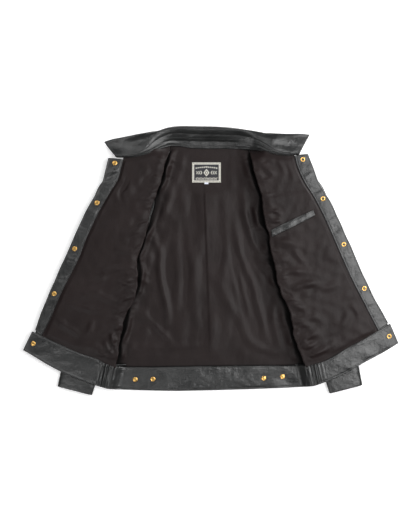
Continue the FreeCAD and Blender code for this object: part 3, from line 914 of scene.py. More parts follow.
def make_front_lining(side):
    """A front's lining, over its fold and down to the torso's edge below."""
    name = SIDE_NAME[side]
    rows, columns = 170, 90
    first = list(reversed(NECK_SEAM[side]))
    last = [(x, y - 5) for x, y in reversed(BAND_TOP[side])]
    inner = np.array(PLACKET_INNER[side], float) + (side * 4, 0)
    inner[0] = NECK_SEAM[side][0] + np.array([side * 4, 0])
    low = FOLD_EDGE[side][:-1] + [last[0]]
    inner[-1] = last[-1] = (last[-1][0] + side * 4, last[-1][1])
    patch = front_patch(side, rows, columns, low, inner, first, last)
    x, y = patch[..., 0], patch[..., 1]
    along = np.linspace(0, 1, rows)[:, None] * np.ones((1, columns))
    across = np.linspace(0, 1, columns)[None, :] * np.ones((rows, 1))
    base = FOLD_HEIGHT[side]
    sunk = droop(x, y, side)
    height = base + 3.0 + lining_relief(x, y, side, across, along) - sunk
    lowest = base + 2.4 + 0.3 * smoothstep(across, 0.2, 0.0) - sunk
    height = np.maximum(height, lowest) - 0.2 * smoothstep(across, 0.055, 0.0)
    grid = np.dstack([x, y, height - neck_dip(x, y, side)])

    edge = grid[:, 0]
    under = rows_beside(side, edge, 3.2)
    # within the armhole it stops short of the sleeve
    away = np.hypot(np.abs(under[:, 0]) - ARM[0], under[:, 1] - ARM[1])
    short = np.clip((86 - away) / 40, 0, 0.5)[:, None]
    under = under * (1 - short) + edge[:, :2] * short
    # beside the torso it comes down to the back's lining, and at the armhole it stays above the sleeve
    wall = (under[:, 1] < 126) | (under[:, 1] > 238)
    level = np.where(wall, base - 4.4, base - 3.0)
    seam = np.where(wall, 3.6, base - 3.0)
    below = []
    for share in np.linspace(0, 1, 16):
        drop = smoothstep(share, 0.35, 1.0)
        flat = (edge[:, 2] - 5.6) * (1 - share) + level * share
        below.append(flat * (1 - drop) + seam * drop)
    grid = fold_over(grid, side, 2.8, 9, under, below)
    piece = folded_sheet(name + "_front_lining_cloth", grid, lining, LINING_CLOTH)
    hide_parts(name + "_front_lining")
    over_fold(piece, side, LINING_BEND)
    return piece


FRONT_TOP = {RIGHT: (-258, 257), LEFT: (242, 266)}           # the corner beside the collar
FRONT_CORNER = {RIGHT: (-450.0, -196.0), LEFT: (450.0, -180.0)}  # and the one at the hem


def make_front_leather(side):
    """A front's leather, over its fold and round below it to the side seam and the shoulder."""
    name = SIDE_NAME[side]
    rows, columns = 110, 46
    hem = (side * 247.0, -281.0)
    corner = FRONT_CORNER[side]
    first = [(x, y - 7) for x, y in reversed(NECK_SEAM[side])] + [FRONT_TOP[side]]
    last = [hem] + [(x, y - 14) for x, y in BAND_TOP[side][-2:0:-1]] + [corner]
    low = [first[0]] + [(x + side * 3.2, y) for x, y in FOLD_EDGE[side][1:-1]] + [hem]
    high = [first[-1]] + [(x - side * 3, y) for x, y in PLACKET_OUTER[side][1:]] + [corner]
    patch = front_patch(side, rows, columns, low, high, first, last)
    x, y = patch[..., 0], patch[..., 1]
    base = FOLD_HEIGHT[side]
    height = base + 1.8 - droop(x, y, side) - neck_dip(x, y, side)
    grid = np.dstack([x, y, height])
    edge = grid[:, 0]
    level = base - 1.8
    below = [np.minimum(edge[:, 2] - 3.6, level)] * 12
    grid = fold_over(grid, side, 1.8, 7, rows_beside(side, edge, 1.8), below)

    # beside the torso it turns down in a wall, but at the armhole only in a short lip
    outer = grid[:, 0]
    walled = smoothstep(outer[:, 1], 131, 127) + smoothstep(outer[:, 1], 229, 234)
    lip, lowest = 1.2, 1.9
    drop = lip + (level - lowest - lip) * walled
    turn = []
    for share in (1.0, 0.7, 0.4, 0.2, 0.07):
        bulge = side * 1.6 * np.sin(np.pi * min(share, 0.5))
        turn.append(np.column_stack([outer[:, 0] + bulge, outer[:, 1],
                                     np.maximum(outer[:, 2] - drop * share, lowest)]))
    grid = np.concatenate([np.stack(turn, axis=1), grid], axis=1)
    piece = folded_sheet(name + "_front_leather", grid, leather, FRONT_LEATHER)
    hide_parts(name + "_front_panel", name + "_side_panel", name + "_shoulder_panel")
    over_fold(piece, side, LEATHER_BEND)


def make_hem_facing(side):
    """The short facing that closes the hem under the waistband between the back and the side seam."""
    low = 3.4
    across = np.linspace(216.0, 273.0, 24)
    top = np.array([min(FOLD_HEIGHT[side] - 4.4, band_height(side * x, -268.0) - 0.5) for x in across])
    share = np.linspace(0.0, 1.0, 8)[None, :]
    height = low + np.maximum(top - low, 0.8)[:, None] * share
    bulge = 2.0 * np.sin(np.pi * share)
    grid = np.dstack([side * across[:, None] + 0 * share, -266.5 - bulge + 0 * height, height])
    piece = shell(SIDE_NAME[side] + "_hem_facing_leather", grid, FACING_LEATHER, leather)
    place(piece, "black_leather", "root")


# Where a placket pulls into a buckle: place, width, height and slope.
BUCKLES = {
    RIGHT: [((-246, 226), 12, 1.3, 0.5), ((-252, 212), 10, -1.1, 0.7), ((-262, 198), 10, 0.9, 0.3),
            ((-300, 122), 14, 0.5, -0.4), ((-320, 84), 12, -0.5, -0.4), ((-358, 2), 14, 0.6, -0.4),
            ((-380, -48), 12, -0.5, -0.3), ((-412, -122), 14, 0.6, -0.3)],
    LEFT: [((250, 216), 12, 0.8, 0.4), ((268, 176), 12, -0.7, 0.3), ((305, 100), 14, 0.6, 0.3),
           ((318, 76), 12, -0.5, 0.4), ((352, 2), 14, 0.6, 0.3), ((366, -34), 12, -0.5, 0.3),
           ((404, -110), 14, 0.6, 0.4)],
}


def placket_relief(side):
    """Dents round the snaps, and the buckles where the placket pulls."""
    def relief(v, x, y):
        total = snap_dents(SNAPS[side], x, y)
        for (a, b), width, size, tilt in BUCKLES[side]:
            across = (y - b) - tilt * (x - a)
            total += 1.5 * size * math.exp(-(across / (0.45 * width)) ** 2) * math.exp(-((x - a) / 26.0) ** 2)
        return total * math.sin(math.pi * min(max(v, 0.0), 1.0)) ** 0.6
    return relief


def make_placket(side):
    """The doubled leather down a front's edge, with a seam along each side."""
    name = SIDE_NAME[side]
    outer, inner = (curve(points[side], 190) for points in (PLACKET_OUTER, PLACKET_INNER))
    wobble = field(outer[:, 0], outer[:, 1], 60, 40 + side) * 0.25
    outer = outer + np.column_stack([wobble * side, wobble * 0.3])
    piece = strip(name + "_placket_leather", outer, inner, lambda x, y: trim_height(x, y, side),
                  PLACKET_DEPTH, 0.25, placket_relief(side))
    place(piece, "black_leather", name + "_front", name + "_placket")
    lines = seam_lines(outer, inner, top_finder(piece), FOLD_HEIGHT[side] + 4, start=0.01, end=0.99)
    place(stitches(name + "_placket_thread", lines), "black_leather", name + "_front")
    return piece


# ---------------------------------------------------------------- waistband

BAND_HIGH = [(-453, -181), (-428, -192), (-384, -213), (-335, -235), (-294, -248), (-268, -262), (-244, -270),
             (-200, -273), (-100, -272), (0, -270.5), (100, -269.5), (200, -269), (246, -267), (272, -261),
             (298, -251), (337, -228), (383, -203), (424, -179), (455, -161)]
BAND_DEEP = [(-476.5, -229), (-452, -243), (-410, -268), (-360, -293), (-310, -312), (-280, -322),
             (-252, -329), (-203, -331.5), (-101, -334), (0, -332.5), (101, -329.5), (202, -325.5),
             (255, -321), (287, -311), (310, -302.5), (348, -284), (394, -257.5), (442, -232), (476.5, -211)]


def band_height(x, y):
    """Height of the waistband's underside: low across the back, up on the fronts."""
    side = LEFT if x > 0 else RIGHT
    rise = float(smoothstep(float(fold_distance(x, y, side)), -30, 10))
    back_level = 4.0
    return back_level * (1 - rise) + trim_height(x, y, side) * rise


def band_relief(side):
    """Pleats where the waistband turns up at the fold, soft waves, and dents round the snaps."""
    def relief(v, x, y):
        pleated = math.exp(-((float(fold_distance(x, y, side)) - 14) / 17.0) ** 2)
        slant = x * side + 0.22 * y
        wave = math.sin(slant * 0.68) + 0.5 * math.sin(slant * 0.37 + 1.0)
        wave += 0.3 * math.sin(slant * 1.1 + y * 0.05)
        pleats = pleated * 1.5 * wave + 0.5 * pleated
        return pleats + snap_dents(SNAPS[side] + WAIST_SNAPS, x, y) + ripple(x, y, 56, 60, (1.8, 0.7)) * 0.5
    return relief


def close_end(piece, rows, end):
    """Put a lid on one end of a strip."""
    columns = len(piece.data.vertices) // rows
    first = 0 if end == 0 else (rows - 1) * columns

    def lid(shape):
        shape.verts.ensure_lookup_table()
        shape.faces.new([shape.verts[first + k] for k in range(columns)])

    edit(piece, lid)
    fix_normals(piece)


def make_waistband():
    """The waistband in two halves, which meet at the middle of the back."""
    high = spans(BAND_HIGH, 26)
    deep = spans(BAND_DEEP, 26)
    middle = (len(high) - 1) // 2
    pieces = {}
    for side, half, end in ((RIGHT, slice(0, middle + 1), 0), (LEFT, slice(middle, None), -1)):
        name = SIDE_NAME[side]
        a, b = high[half], deep[half]
        piece = strip(name + "_waistband_leather", a, b, band_height, BAND_DEPTH, 0.5, band_relief(side),
                      rounded=False, caps=False)
        close_end(piece, len(a), end)
        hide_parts(name + "_front_waistband")
        if side == RIGHT:
            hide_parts("back_waistband")
        top = top_finder(piece)
        lines = seam_lines(a, b, top, 8.0, start=0.004, end=0.996)
        across = b[end] - a[end]
        end_line = np.linspace(a[end] + across * 0.08, a[end] + across * 0.92, 30)
        end_line[:, 0] -= side * SEAM_INSET
        lines.append(on_surface(end_line, top, FOLD_HEIGHT[side] + 4))
        across_fold(piece, side, BAND_BEND)
        sewn = stitches(name + "_waistband_thread", lines)
        across_fold(sewn, side, BAND_BEND)
        pieces[side] = piece
    return pieces


# ---------------------------------------------------------------- collar

# Each row runs from the right wing's end, round the back of the neck, to the left wing's end.
# The rows go from the neck seam up the stand, over the ridge and down the leaf to its edge.
COLLAR = [
    [(-238, 261.5, 24.6), (-214, 261, 24.6), (-186, 263, 24.6), (-160, 270, 24), (-142, 277.5, 21),
     (-122, 285.5, 15), (-103, 291, 8), (-80, 291, 5.5), (-45, 286, 5), (0, 285, 5), (45, 285, 5),
     (75, 284, 5.5), (98, 282.5, 9), (118, 279.5, 17), (136, 275.5, 24), (155, 270.5, 27.6),
     (178, 266.5, 28.4), (203, 265.5, 28.4), (224, 268, 28.4)],
    [(-240, 262.5, 25.6), (-216, 262.5, 25.8), (-190, 265, 26), (-165, 273.5, 25.6), (-147, 282.5, 23),
     (-127, 293, 18), (-106, 300, 11.5), (-82, 301, 7.4), (-45, 299.5, 6.2), (0, 298.5, 6.2),
     (45, 298, 6.2), (77, 295.5, 8), (101, 292.5, 12.5), (121, 288, 21), (139, 280.5, 27),
     (157, 273.5, 29.6), (179, 268.5, 30), (204, 267.5, 29.6), (225, 269.5, 29.2)],
    [(-242, 264, 26.4), (-218, 264, 27), (-193, 267.5, 27.6), (-169, 278, 27.5), (-152, 289.5, 25),
     (-131, 305, 20), (-106, 316, 18), (-82, 319, 16.5), (-46, 316, 16.2), (0, 315, 16.2), (46, 314, 16.2),
     (79, 312, 16.5), (103, 307, 18.5), (124, 299.5, 23.5), (143, 288.5, 29), (160, 278, 31.2),
     (181, 271.5, 31.4), (205, 270, 30.8), (226, 271.5, 30)],
    [(-244, 267, 26.6), (-219, 267, 27.6), (-195, 273, 28), (-171, 284, 28), (-156, 302, 27),
     (-134, 319, 25.5), (-105, 331, 24), (-80, 335.5, 25.5), (-47, 334, 25.5), (0, 333, 25.5),
     (48, 331.5, 25.5), (82, 327.5, 25.5), (106, 320, 24.5), (130, 307, 27), (150, 294.5, 31),
     (166, 284.5, 32), (184, 277.5, 32), (206, 274.5, 31.4), (227, 274, 30.4)],
    [(-256, 281, 23), (-234, 281.5, 24), (-214, 288, 25), (-192, 297, 25.5), (-170, 313, 25),
     (-138, 325, 23.5), (-109, 336.5, 19.5), (-82, 341, 17), (-47, 341, 16), (0, 340, 16), (48, 337.5, 16),
     (84, 332.5, 17), (111, 327.5, 21), (138, 319.5, 26), (163, 307.5, 29.5), (180, 300.5, 30),
     (196, 294.5, 29.4), (214, 291, 28.4), (234, 287, 27)],
    [(-263, 290, 20.5), (-242, 292.5, 21.5), (-222, 298, 22.5), (-200, 305, 23.5), (-173, 317, 23.5),
     (-137, 327.5, 20), (-111, 334, 12), (-83, 336, 5), (-47, 334, 3.6), (0, 333, 3.5), (48, 330, 3.6),
     (86, 327, 6), (114, 326, 14), (140, 322, 23), (165, 315, 28), (184, 311.5, 28), (200, 309, 27),
     (221, 307.5, 26), (244, 305.5, 24.5)],
    [(-270, 300.5, 17.5), (-249, 306.8, 19), (-229, 310.6, 20), (-206, 315.2, 21), (-176, 321.4, 21),
     (-134, 328.5, 17), (-108, 325, 9), (-82, 312, 3.5), (-47, 303, 2.9), (0, 302, 2.9), (48, 302, 2.9),
     (86, 308, 4), (114, 319, 11), (140, 322.5, 20.5), (166, 321, 25.5), (189, 320, 25.5),
     (207, 319.8, 25), (229, 320, 24), (251, 318, 22)],
]


# Seams along the collar, as shares of the way from the neck seam to the leaf's edge.
COLLAR_SEAMS = (0.035, 0.21, 0.37)


def collar_lines(part, side):
    """The collar's seams: two along the stand, one along the leaf's edge, and two across its end."""
    columns = part.shape[1]
    lifted = part + (0, 0, 0.15)
    lines = [lifted[:, int(0.075 * columns)], lifted[:, int(0.27 * columns)]]

    def inward(edge, inside):
        return (inside - edge) / np.linalg.norm(inside - edge, axis=1)[:, None]

    edge = part[:, -1]
    lines.append(edge + inward(edge, part[:, -6]) * SEAM_INSET + (0, 0, 0.2))
    end, beside = (part[0], part[3]) if side == RIGHT else (part[-1], part[-4])
    for inset in (3.5, 7.0):
        lines.append((end + inward(end, beside) * inset + (0, 0, 0.25))[int(0.5 * columns):-3])
    return lines


def make_collar():
    """The collar in two halves: its stand and leaf across the neck, and a wing on each front."""
    guides = np.stack([spans(row, 14) for row in COLLAR])
    stations = guides.shape[1]
    grid = np.stack([spans(guides[:, k], 13) for k in range(stations)])
    x, y = grid[..., 0], grid[..., 1]
    share = np.linspace(0, 1, grid.shape[1])[None, :]
    stand = smoothstep(share, 0.0, 0.12) * smoothstep(share, 0.52, 0.40)
    rumple = 0.22 * field(x, y, 60, 71, stretch=(2.2, 0.8)) + 0.10 * field(x, y, 22, 72, stretch=(2.4, 1))
    for low, high, size in ((0.04, 0.19, 1.3), (0.21, 0.37, 0.35), (0.37, 0.53, 0.3)):
        within = np.clip((share - low) / (high - low), 0, 1)
        rumple = rumple + size * np.sin(np.pi * within) ** 0.8
    grid[..., 2] += stand * rumple
    leaf = smoothstep(share, 0.5, 0.62) * smoothstep(share, 1.0, 0.9)
    grid[..., 2] += leaf * 0.8 * field(x, y, 52, 73, stretch=(1.5, 0.8))
    for at, depth in zip(COLLAR_SEAMS, (0.5, 0.4, 0.35)):
        grid[..., 2] -= depth * np.exp(-((share - at) / 0.012) ** 2)
    middle = (stations - 1) // 2
    for side, part in ((RIGHT, grid[:middle + 1]), (LEFT, grid[middle:])):
        name = SIDE_NAME[side]
        piece = shell(name + "_collar_leather", part, COLLAR_LEATHER, leather,
                      open_end=side == RIGHT, open_start=side == LEFT)
        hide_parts(name + "_collar_wing")
        if side == RIGHT:
            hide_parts("collar_leaf", "collar_stand")
        across_fold(piece, side, COLLAR_BEND)
        sewn = stitches(name + "_collar_thread", collar_lines(part, side))
        across_fold(sewn, side, COLLAR_BEND)


# ---------------------------------------------------------------- sleeves

REACH = 435.0                          # from the armhole's middle to the cuff
LEAN = math.radians(14.4)              # how far the sleeve points away from straight down
HALF_TOP, HALF_END = 74.5, 46.5        # half its width at the armhole and at the cuff
HEAD_INNER, HEAD_OUTER = 75.4, 73.5    # radius of its round head, on each side
MIDDLE_HEIGHT = 9.0                    # of the flattened sleeve


def sleeve_place(points, side):
    """From the sleeve's own frame (pivot at the origin, cuff towards -Y) to the jacket's."""
    x = points[..., 0] * side
    y = points[..., 1]
    out = np.empty_like(points)
    out[..., 0] = side * ARM[0] + x * math.cos(LEAN) - side * y * math.sin(LEAN)
    out[..., 1] = ARM[1] + side * x * math.sin(LEAN) + y * math.cos(LEAN)
    out[..., 2] = points[..., 2]
    return out


def sleeve_ring(y, half, low, high, opening, sides=40):
    """A flattened ring across the sleeve: it starts and ends at the inner edge, which is
    open by that share of the height at the shoulder."""
    middle = (low + high) / 2
    tall = (high - low) / 2
    gap = opening * math.pi * 0.42
    angles = np.linspace(-math.pi + gap, math.pi - gap, sides + 1)
    x = np.sign(np.cos(angles)) * np.abs(np.cos(angles)) ** 0.42 * half
    x = np.where(x < 0, x / abs(math.cos(math.pi - gap)) ** 0.42, x)
    z = middle + np.sign(np.sin(angles)) * np.abs(np.sin(angles)) ** 0.75 * tall
    return np.column_stack([x, np.full_like(x, y), z])


def sleeve_half(y, inset, head):
    """Half the sleeve's width: a round head above the pivot, tapering to the cuff below it."""
    if y > 0:
        return math.sqrt(max((head - inset) ** 2 - y * y, 1.0))
    return HALF_TOP - inset + (HALF_END - HALF_TOP) * (-y / REACH)


def sleeve_tube(name, side, inset, material, thickness):
    """One layer of a sleeve, flattened and open at both ends."""
    head = list(HEAD_INNER * 0.985 * np.sin(np.linspace(math.pi / 2, 0, 14)))
    rings = []
    for y in head[:-1] + list(np.linspace(0, -REACH - 6, 80)):
        opening = 0.75 * float(smoothstep(y, -14, 6))
        half = sleeve_half(y, inset, HEAD_INNER)
        ring = sleeve_ring(y, half, 1.0 + inset, SLEEVE_TOP - 0.6 - inset, opening)
        if y > 0:
            narrow = min(sleeve_half(y, inset, HEAD_OUTER) / half, 1.0)
            ring[:, 0] = np.where(ring[:, 0] > 0, ring[:, 0] * narrow, ring[:, 0])
        x = ring[:, 0]
        up = (ring[:, 2] - MIDDLE_HEIGHT) / MIDDLE_HEIGHT
        wrinkle = field(x, np.full_like(x, y), 46, 80 + side, stretch=(1.6, 0.8)) * 0.8
        elbow = math.exp(-((y + 215) / 55.0) ** 2)
        wrinkle = wrinkle + elbow * 1.3 * np.sin(y * 0.21 + x * 0.05)
        ring[:, 2] -= np.abs(wrinkle) * np.clip(up, 0, 1) * 0.9 * (1 if y < -20 else 0.2)
        if y > 0:
            roof = SLEEVE_TOP - 1.4 - inset - 2.2 * smoothstep(x, -10, -50)
            ring[:, 2] = np.clip(ring[:, 2], 3.9, roof)
        rings.append(ring)
    grid = sleeve_place(np.stack(rings), side)
    piece = mesh_object(name, grid.reshape(-1, 3), grid_faces(*grid.shape[:2]), material)
    weld = 0.3 * MM
    edit(piece, lambda shape: bmesh.ops.remove_doubles(shape, verts=shape.verts, dist=weld))
    fix_normals(piece)
    thicken(piece, thickness)
    return piece


def make_sleeve(side):
    """A sleeve, lying flat under its front: leather, lining and cuff."""
    name = SIDE_NAME[side]
    body = name + "_sleeve"
    tube = sleeve_tube(name + "_sleeve_leather", side, 0.0, leather, SLEEVE_LEATHER)
    place(tube, "black_leather", body, name + "_upper_sleeve", name + "_under_sleeve")
    inner = sleeve_tube(name + "_sleeve_lining_cloth", side, 2.2, lining, LINING_CLOTH)
    place(inner, "lining_satin", body, name + "_sleeve_lining")
    make_cuff(side, body)


CUFF_LONG = {RIGHT: 64.0, LEFT: 60.0}
CUFF_HALF = {RIGHT: (48.5, 45.6), LEFT: (47.0, 43.6)}


def make_cuff(side, body):
    """The cuff: a doubled band of leather round the sleeve's end, open for the hand."""
    name = SIDE_NAME[side]
    start, end = -REACH + 1.5, -REACH - CUFF_LONG[side]
    wide, narrow = CUFF_HALF[side]

    def half_at(y):
        return wide + (narrow - wide) * ((start - y) / (start - end))

    # stations along the cuff, closest at its rolled edges, and how far the leather stands out at each
    ys = [start, start - 0.5, start - 1.4, start - 3.0] + list(np.linspace(start - 6, end + 6, 14)) \
        + [end + 3.0, end + 1.2, end + 0.4, end]
    grow = [0.1, 0.9, 1.4, 1.6] + [1.6] * 14 + [1.6, 1.4, 0.9, 0.1]
    rings = []
    for y, g in zip(ys, grow):
        ring = sleeve_ring(y, half_at(y) - 1.2 + g * 0.8, 1.8 - g, SLEEVE_TOP - 1.8 + g, 0.0, 56)[:-1]
        wave = field(ring[:, 0], np.full(len(ring), y), 30, 90 + side, stretch=(1, 2)) * 0.18
        ring[:, 2] -= np.abs(wave) * np.clip((ring[:, 2] - MIDDLE_HEIGHT) / MIDDLE_HEIGHT, 0, 1)
        groove = 0.4 * sum(math.exp(-(off / 0.9) ** 2) for off in (y - start + 4, y - end - 4))
        ring[:, 2] -= groove * np.sign(ring[:, 2] - MIDDLE_HEIGHT) * 0.8
        rings.append(ring)
    for y, g in zip(reversed(ys), reversed(grow)):
        low, high = 4.0 - 0.4 * g, SLEEVE_TOP - 4.0 + 0.4 * g
        rings.append(sleeve_ring(y, half_at(y) - 4.2, low, high, 0.0, 56)[:-1])
    grid = sleeve_place(np.stack(rings), side)
    piece = mesh_object(name + "_cuff_leather", grid.reshape(-1, 3),
                        grid_faces(*grid.shape[:2], wrap_columns=True, wrap_rows=True), leather)
    fix_normals(piece)
    round_off(piece)
    place(piece, "black_leather", body, name + "_cuff")
    lines = []
    for y in (start - 4, end + 4, end + 9):
        ring = sleeve_ring(y, half_at(y) + 0.1, 0.35, SLEEVE_TOP - 0.30, 0.0, 80)
        lines.append(sleeve_place(ring[4:-4], side))
    place(stitches(name + "_cuff_thread", lines), "black_leather", body)


# ---------------------------------------------------------------- fasteners


def lathe(points, faces, profile, centre, base, sides=28):
    """Add a turned part with its foot at the height of base."""
    start = len(points)
    for radius, height in profile:
        for k in range(sides):
            turn = 2 * math.pi * k / sides
            points.append((centre[0] + radius * math.cos(turn), centre[1] + radius * math.sin(turn),
                           base + height))
    faces.extend(grid_faces(len(profile), sides, wrap_columns=True, offset=start))
    faces.append(tuple(start + k for k in range(sides)))
    faces.append(tuple(start + (len(profile) - 1) * sides + k for k in range(sides))[::-1])


# Profiles of the snaps' parts, each as (radius, height) from its rim to its middle.
POST = [(5.2, -1.2), (6.1, -0.5), (6.35, 0.05), (6.3, 0.45), (5.9, 0.8), (5.2, 0.98), (4.6, 1.0), (4.3, 0.86),
        (3.8, 0.9), (2.4, 1.05), (0.8, 1.12)]
SOCKET = [(5.6, -1.2), (6.1, -0.4), (6.25, 0.2), (6.2, 0.9), (5.9, 1.35), (5.3, 1.55), (4.7, 1.35),
          (4.2, 1.2), (3.9, 1.5), (3.5, 1.75), (3.1, 1.7), (2.8, 1.3), (2.7, 0.2), (2.6, -0.9)]
CAP = [(6.8, 0.0), (7.4, -0.4), (7.5, -0.8), (7.0, -1.15), (5.4, -1.35), (2.8, -1.45), (0.6, -1.5)]
STUD = [(5.6, 0.0), (5.9, -0.5), (5.2, -0.8), (3.3, -0.9), (2.6, -1.1), (2.4, -1.6), (2.8, -2.0), (2.3, -2.2),
        (0.5, -2.25)]


def fasteners(name, node, body, centres, heights, profile):
    """One piece with the same turned part at every centre."""
    points, faces = [], []
    for centre, height in zip(centres, heights):
        lathe(points, faces, profile, centre, height)
    piece = mesh_object(name, np.array(points), faces, brass)
    fix_normals(piece)
    place(piece, "snap_brass", body, node)


# ---------------------------------------------------------------- pocket and labels


def make_pocket(lining_top):
    """The inside pocket: a leather welt on the left front's lining, over a hanging bag."""
    high = curve([(153, 76), (206, 102), (260, 127)], 60)
    low = curve([(155, 58), (210, 85), (265, 113)], 60)
    missed = 28.0

    def under(x, y):
        return lining_top(x, y, 27.0) - 0.5

    def soft(v, x, y):
        return 0.25 * ripple(x, y, 26, 95)

    welt = strip("pocket_welt_leather", high, low, under, WELT_DEPTH, 0.35, soft, stitch_inset=WELT_INSET)
    place(welt, "black_leather", "left_front", "pocket_welt")
    top = top_finder(welt)
    lines = seam_lines(high, low, top, missed, WELT_INSET, 0.02, 0.98)
    for k, shift in ((0, WELT_INSET), (-1, -WELT_INSET)):
        lines.append(on_surface(np.linspace(high[k], low[k], 12)[1:-1] + (shift, 0), top, missed))
    place(stitches("pocket_welt_thread", lines), "black_leather", "left_front")
    across = np.linspace(0, 1, 26)[None, :, None]
    down = np.linspace(0, 1, 30)[:, None, None]
    upper = np.array([158.0, 66.0]) * (1 - across) + np.array([262.0, 117.0]) * across
    grid = upper + down * np.array([36.0, -96.0])
    height = np.full(grid.shape[:2], FOLD_HEIGHT[LEFT] + 2.15)
    bag = shell("pocket_bag_cloth", np.dstack([grid, height]), POCKET_CLOTH, lining)
    place(bag, "lining_satin", "left_front", "pocket_bag")


LABEL_MIDDLE = (-10.5, 223.5)
LABEL_HALF = (36.5, 25.5)
LABEL_LEVEL = 3.35


def tiles(name, shapes, base, height, material):
    """Flat woven figures: each a convex outline in the label's own frame, raised a little."""
    points, faces = [], []
    for outline in shapes:
        start = len(points)
        count = len(outline)
        for z in (base, base + height):
            points += [(LABEL_MIDDLE[0] + x, LABEL_MIDDLE[1] + y, z) for x, y in outline]
        faces.append(tuple(start + count + k for k in range(count)))
        faces.append(tuple(start + k for k in reversed(range(count))))
        for k in range(count):
            after = start + (k + 1) % count
            faces.append((start + k, after, count + after, start + count + k))
    piece = mesh_object(name, np.array(points), faces, material, smooth=False)
    fix_normals(piece)
    piece.data.shade_flat()
    return piece


def diamond(x, y, wide, tall):
    """A diamond about a point, by its half width and half height."""
    return [(x - wide, y), (x, y - tall), (x + wide, y), (x, y + tall)]


def bar(x0, y0, x1, y1, width):
    """A straight bar between two points."""
    along = np.array([x1 - x0, y1 - y0], float)
    side = np.array([-along[1], along[0]]) / np.linalg.norm(along) * width / 2
    a, b = np.array([x0, y0]), np.array([x1, y1])
    return [tuple(a - side), tuple(b - side), tuple(b + side), tuple(a + side)]


def box(x0, y0, x1, y1):
    """A rectangle between two opposite corners."""
    return [(x0, y0), (x1, y0), (x1, y1), (x0, y1)]


def make_labels():
    """A woven label with a patterned border and a plain geometric figure, and a small blank tab."""
    wide, tall = LABEL_HALF
    base = LABEL_LEVEL
    edge = 5.0                                  # the border's width
    side, end = wide - edge / 2, tall - edge / 2
    cloth = tiles("neck_label_cloth", [box(-wide, -tall, wide, tall)], base, 0.5, label_black)
    figures = [bar(-wide, y, wide, y, edge) for y in (end, -end)]
    figures += [bar(x, -tall + edge, x, tall - edge, edge) for x in (-side, side)]
    figures.append(diamond(0, -0.5, 7.6, 9.6))
    for sign in (-1, 1):
        for k in range(3):
            x = sign * (11.5 + 5.4 * k)
            figures.append(bar(x, -0.5, x + sign * 3.6, 4.2 - 0.6 * k, 1.7))
            figures.append(bar(x, -0.5, x + sign * 3.6, -5.2 + 0.6 * k, 1.7))
        for k in range(1, 6):
            figures.append(diamond(sign * (5.2 * k), 13.6 - 0.10 * k ** 2, 2.1, 2.3))
        for k in range(6):
            x = sign * (2.3 + 4.6 * k)
            rise = 1.0 if k % 2 else -1.0
            figures.append(bar(x - 2.3, -14.6 - rise, x + 2.3, -14.6 + rise, 1.5))
            figures.append(bar(x - 2.0, -18.2, x + 1.4, -18.2, 1.3))
    figures.append(diamond(0, 14.2, 2.6, 2.6))
    pale = tiles("neck_label_figures", figures, base + 0.5, 0.1, label_pale)
    marks = [diamond(0, -0.5, 4.6, 6.0)]
    for k in range(-9, 10):
        marks += [diamond(k * 3.7, y, 0.9, 1.3) for y in (end, -end)]
    for k in range(-5, 6):
        marks += [diamond(x, k * 3.6, 1.3, 0.9) for x in (-side, side)]
    dark = tiles("neck_label_marks", marks, base + 0.6, 0.06, label_black)
    heart = tiles("neck_label_centre", [diamond(0, -0.5, 2.4, 3.2)], base + 0.66, 0.06, label_pale)
    tab = tiles("size_label_cloth", [box(-5.1, -29.6, 5.1, -19.4)], base - 0.1, 0.5, label_white)
    x, y = wide - 1.2, tall - 1.2
    edges = [[(-x, -y), (x, -y)], [(-x, y), (x, y)], [(-x, -y), (-x, y)], [(x, -y), (x, y)]]
    lines = [np.array([(LABEL_MIDDLE[0] + a, LABEL_MIDDLE[1] + b, base + 0.66) for a, b in line])
             for line in edges]
    sewn = stitches("neck_label_thread", lines, pitch=2.6, length=1.7, radius=0.18)
    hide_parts("neck_label")
    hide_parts("size_label")
    for piece in (cloth, pale, dark, heart, tab, sewn):
        place(piece, "label_cloth", "root")


# ---------------------------------------------------------------- the model

make_back()
linings = {}
for side in (RIGHT, LEFT):
    linings[side] = make_front_lining(side)
    make_front_leather(side)
    make_hem_facing(side)
make_collar()
bands = make_waistband()
plackets = {side: make_placket(side) for side in (RIGHT, LEFT)}
for side in (RIGHT, LEFT):
    make_sleeve(side)

# The fronts' snaps: what shows on the lining's side, then what shows outside, below the front.
SNAP_PARTS = {RIGHT: (("posts", POST), ("studs", STUD)), LEFT: (("sockets", SOCKET), ("caps", CAP))}
for side in (RIGHT, LEFT):
    name = SIDE_NAME[side]
    tops = [top_finder(plackets[side]), top_finder(bands[side])]
    inside = [max(top(x, y, 0) for top in tops) for x, y in SNAPS[side]]
    outside = [FOLD_HEIGHT[side] + 0.2] * len(SNAPS[side])
    for (kind, profile), heights in zip(SNAP_PARTS[side], (inside, outside)):
        fasteners(f"{name}_snap_{kind}", f"{name}_front_snap_{kind}", name + "_front", SNAPS[side],
                  heights, profile)
make_pocket(top_finder(linings[LEFT]))
make_labels()
for material, nodes in ((leather, ("right_adjuster_tab", "left_adjuster_tab")),
                        (brass, ("adjuster_snap_caps", "waist_snap_studs"))):
    for node in nodes:
        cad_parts[node].data.materials.clear()
        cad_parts[node].data.materials.append(material)
waist_tops = [top_finder(bands[side]) for side in (RIGHT, LEFT)]
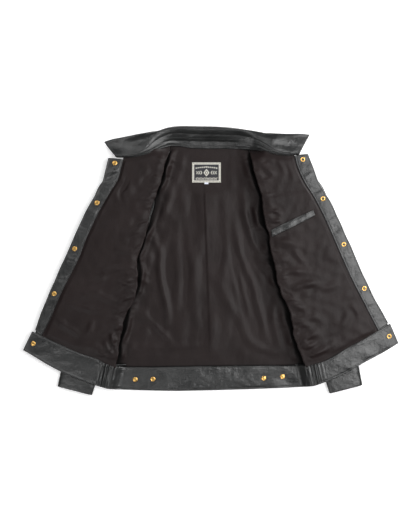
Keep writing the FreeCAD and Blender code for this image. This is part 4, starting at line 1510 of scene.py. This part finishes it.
fasteners("waist_posts", "waist_snap_posts", "root", WAIST_SNAPS,
          [max(top(x, y, 0) for top in waist_tops) for x, y in WAIST_SNAPS], POST)

# ---------------------------------------------------------------- floor, light and camera

FLOOR_HALF, FLOOR_LEVEL = 4000, -0.4
floor = mesh_object("studio_floor", np.array([(x, y, FLOOR_LEVEL) for x, y in
                                              box(-FLOOR_HALF, -FLOOR_HALF, FLOOR_HALF, FLOOR_HALF)]),
                    [(0, 1, 2, 3)], floor_material())

CAMERA_HEIGHT = 3.02
VIEW_DISTANCE, VIEW_TALL = 3.0, 1.3208     # the picture is this tall, in metres, at this distance
camera = bpy.data.objects.new("camera", bpy.data.cameras.new("camera"))
bpy.context.scene.collection.objects.link(camera)
camera.location = (-0.0066, 0.0, CAMERA_HEIGHT)
camera.data.sensor_fit = "VERTICAL"
camera.data.sensor_height = 36
camera.data.lens = 36 * VIEW_DISTANCE / VIEW_TALL
bpy.context.scene.camera = camera


def area_light(name, location, target, size, power):
    """A rectangular lamp: where it is, what it faces and its size in metres, and its power in watts."""
    lamp = bpy.data.objects.new(name, bpy.data.lights.new(name, "AREA"))
    lamp.data.shape = "RECTANGLE"
    lamp.data.size, lamp.data.size_y = size
    lamp.data.energy = power
    lamp.location = location
    lamp.rotation_euler = (Vector(target) - Vector(location)).to_track_quat("-Z", "Y").to_euler()
    bpy.context.scene.collection.objects.link(lamp)


area_light("overhead", (1.15, 0.1, 2.35), (0.3, 0.0, 0), (1.6, 1.5), 46)
area_light("key", (2.2, 1.7, 1.25), (0, 0.05, 0), (1.0, 0.8), 74)
area_light("low_fill", (-1.0, -1.1, 2.2), (-0.2, -0.2, 0), (0.9, 0.8), 12)
area_light("high_fill", (-0.95, 1.0, 2.2), (-0.2, 0.2, 0), (0.8, 0.7), 9)
WORLD_STRENGTH = 0.11
world = bpy.data.worlds.new("studio")
world.use_nodes = True
background = world.node_tree.nodes["Background"]
background.inputs["Color"].default_value = (1, 1, 1, 1)
background.inputs["Strength"].default_value = WORLD_STRENGTH
bpy.context.scene.world = world
bpy.context.scene.view_settings.view_transform = "Standard"
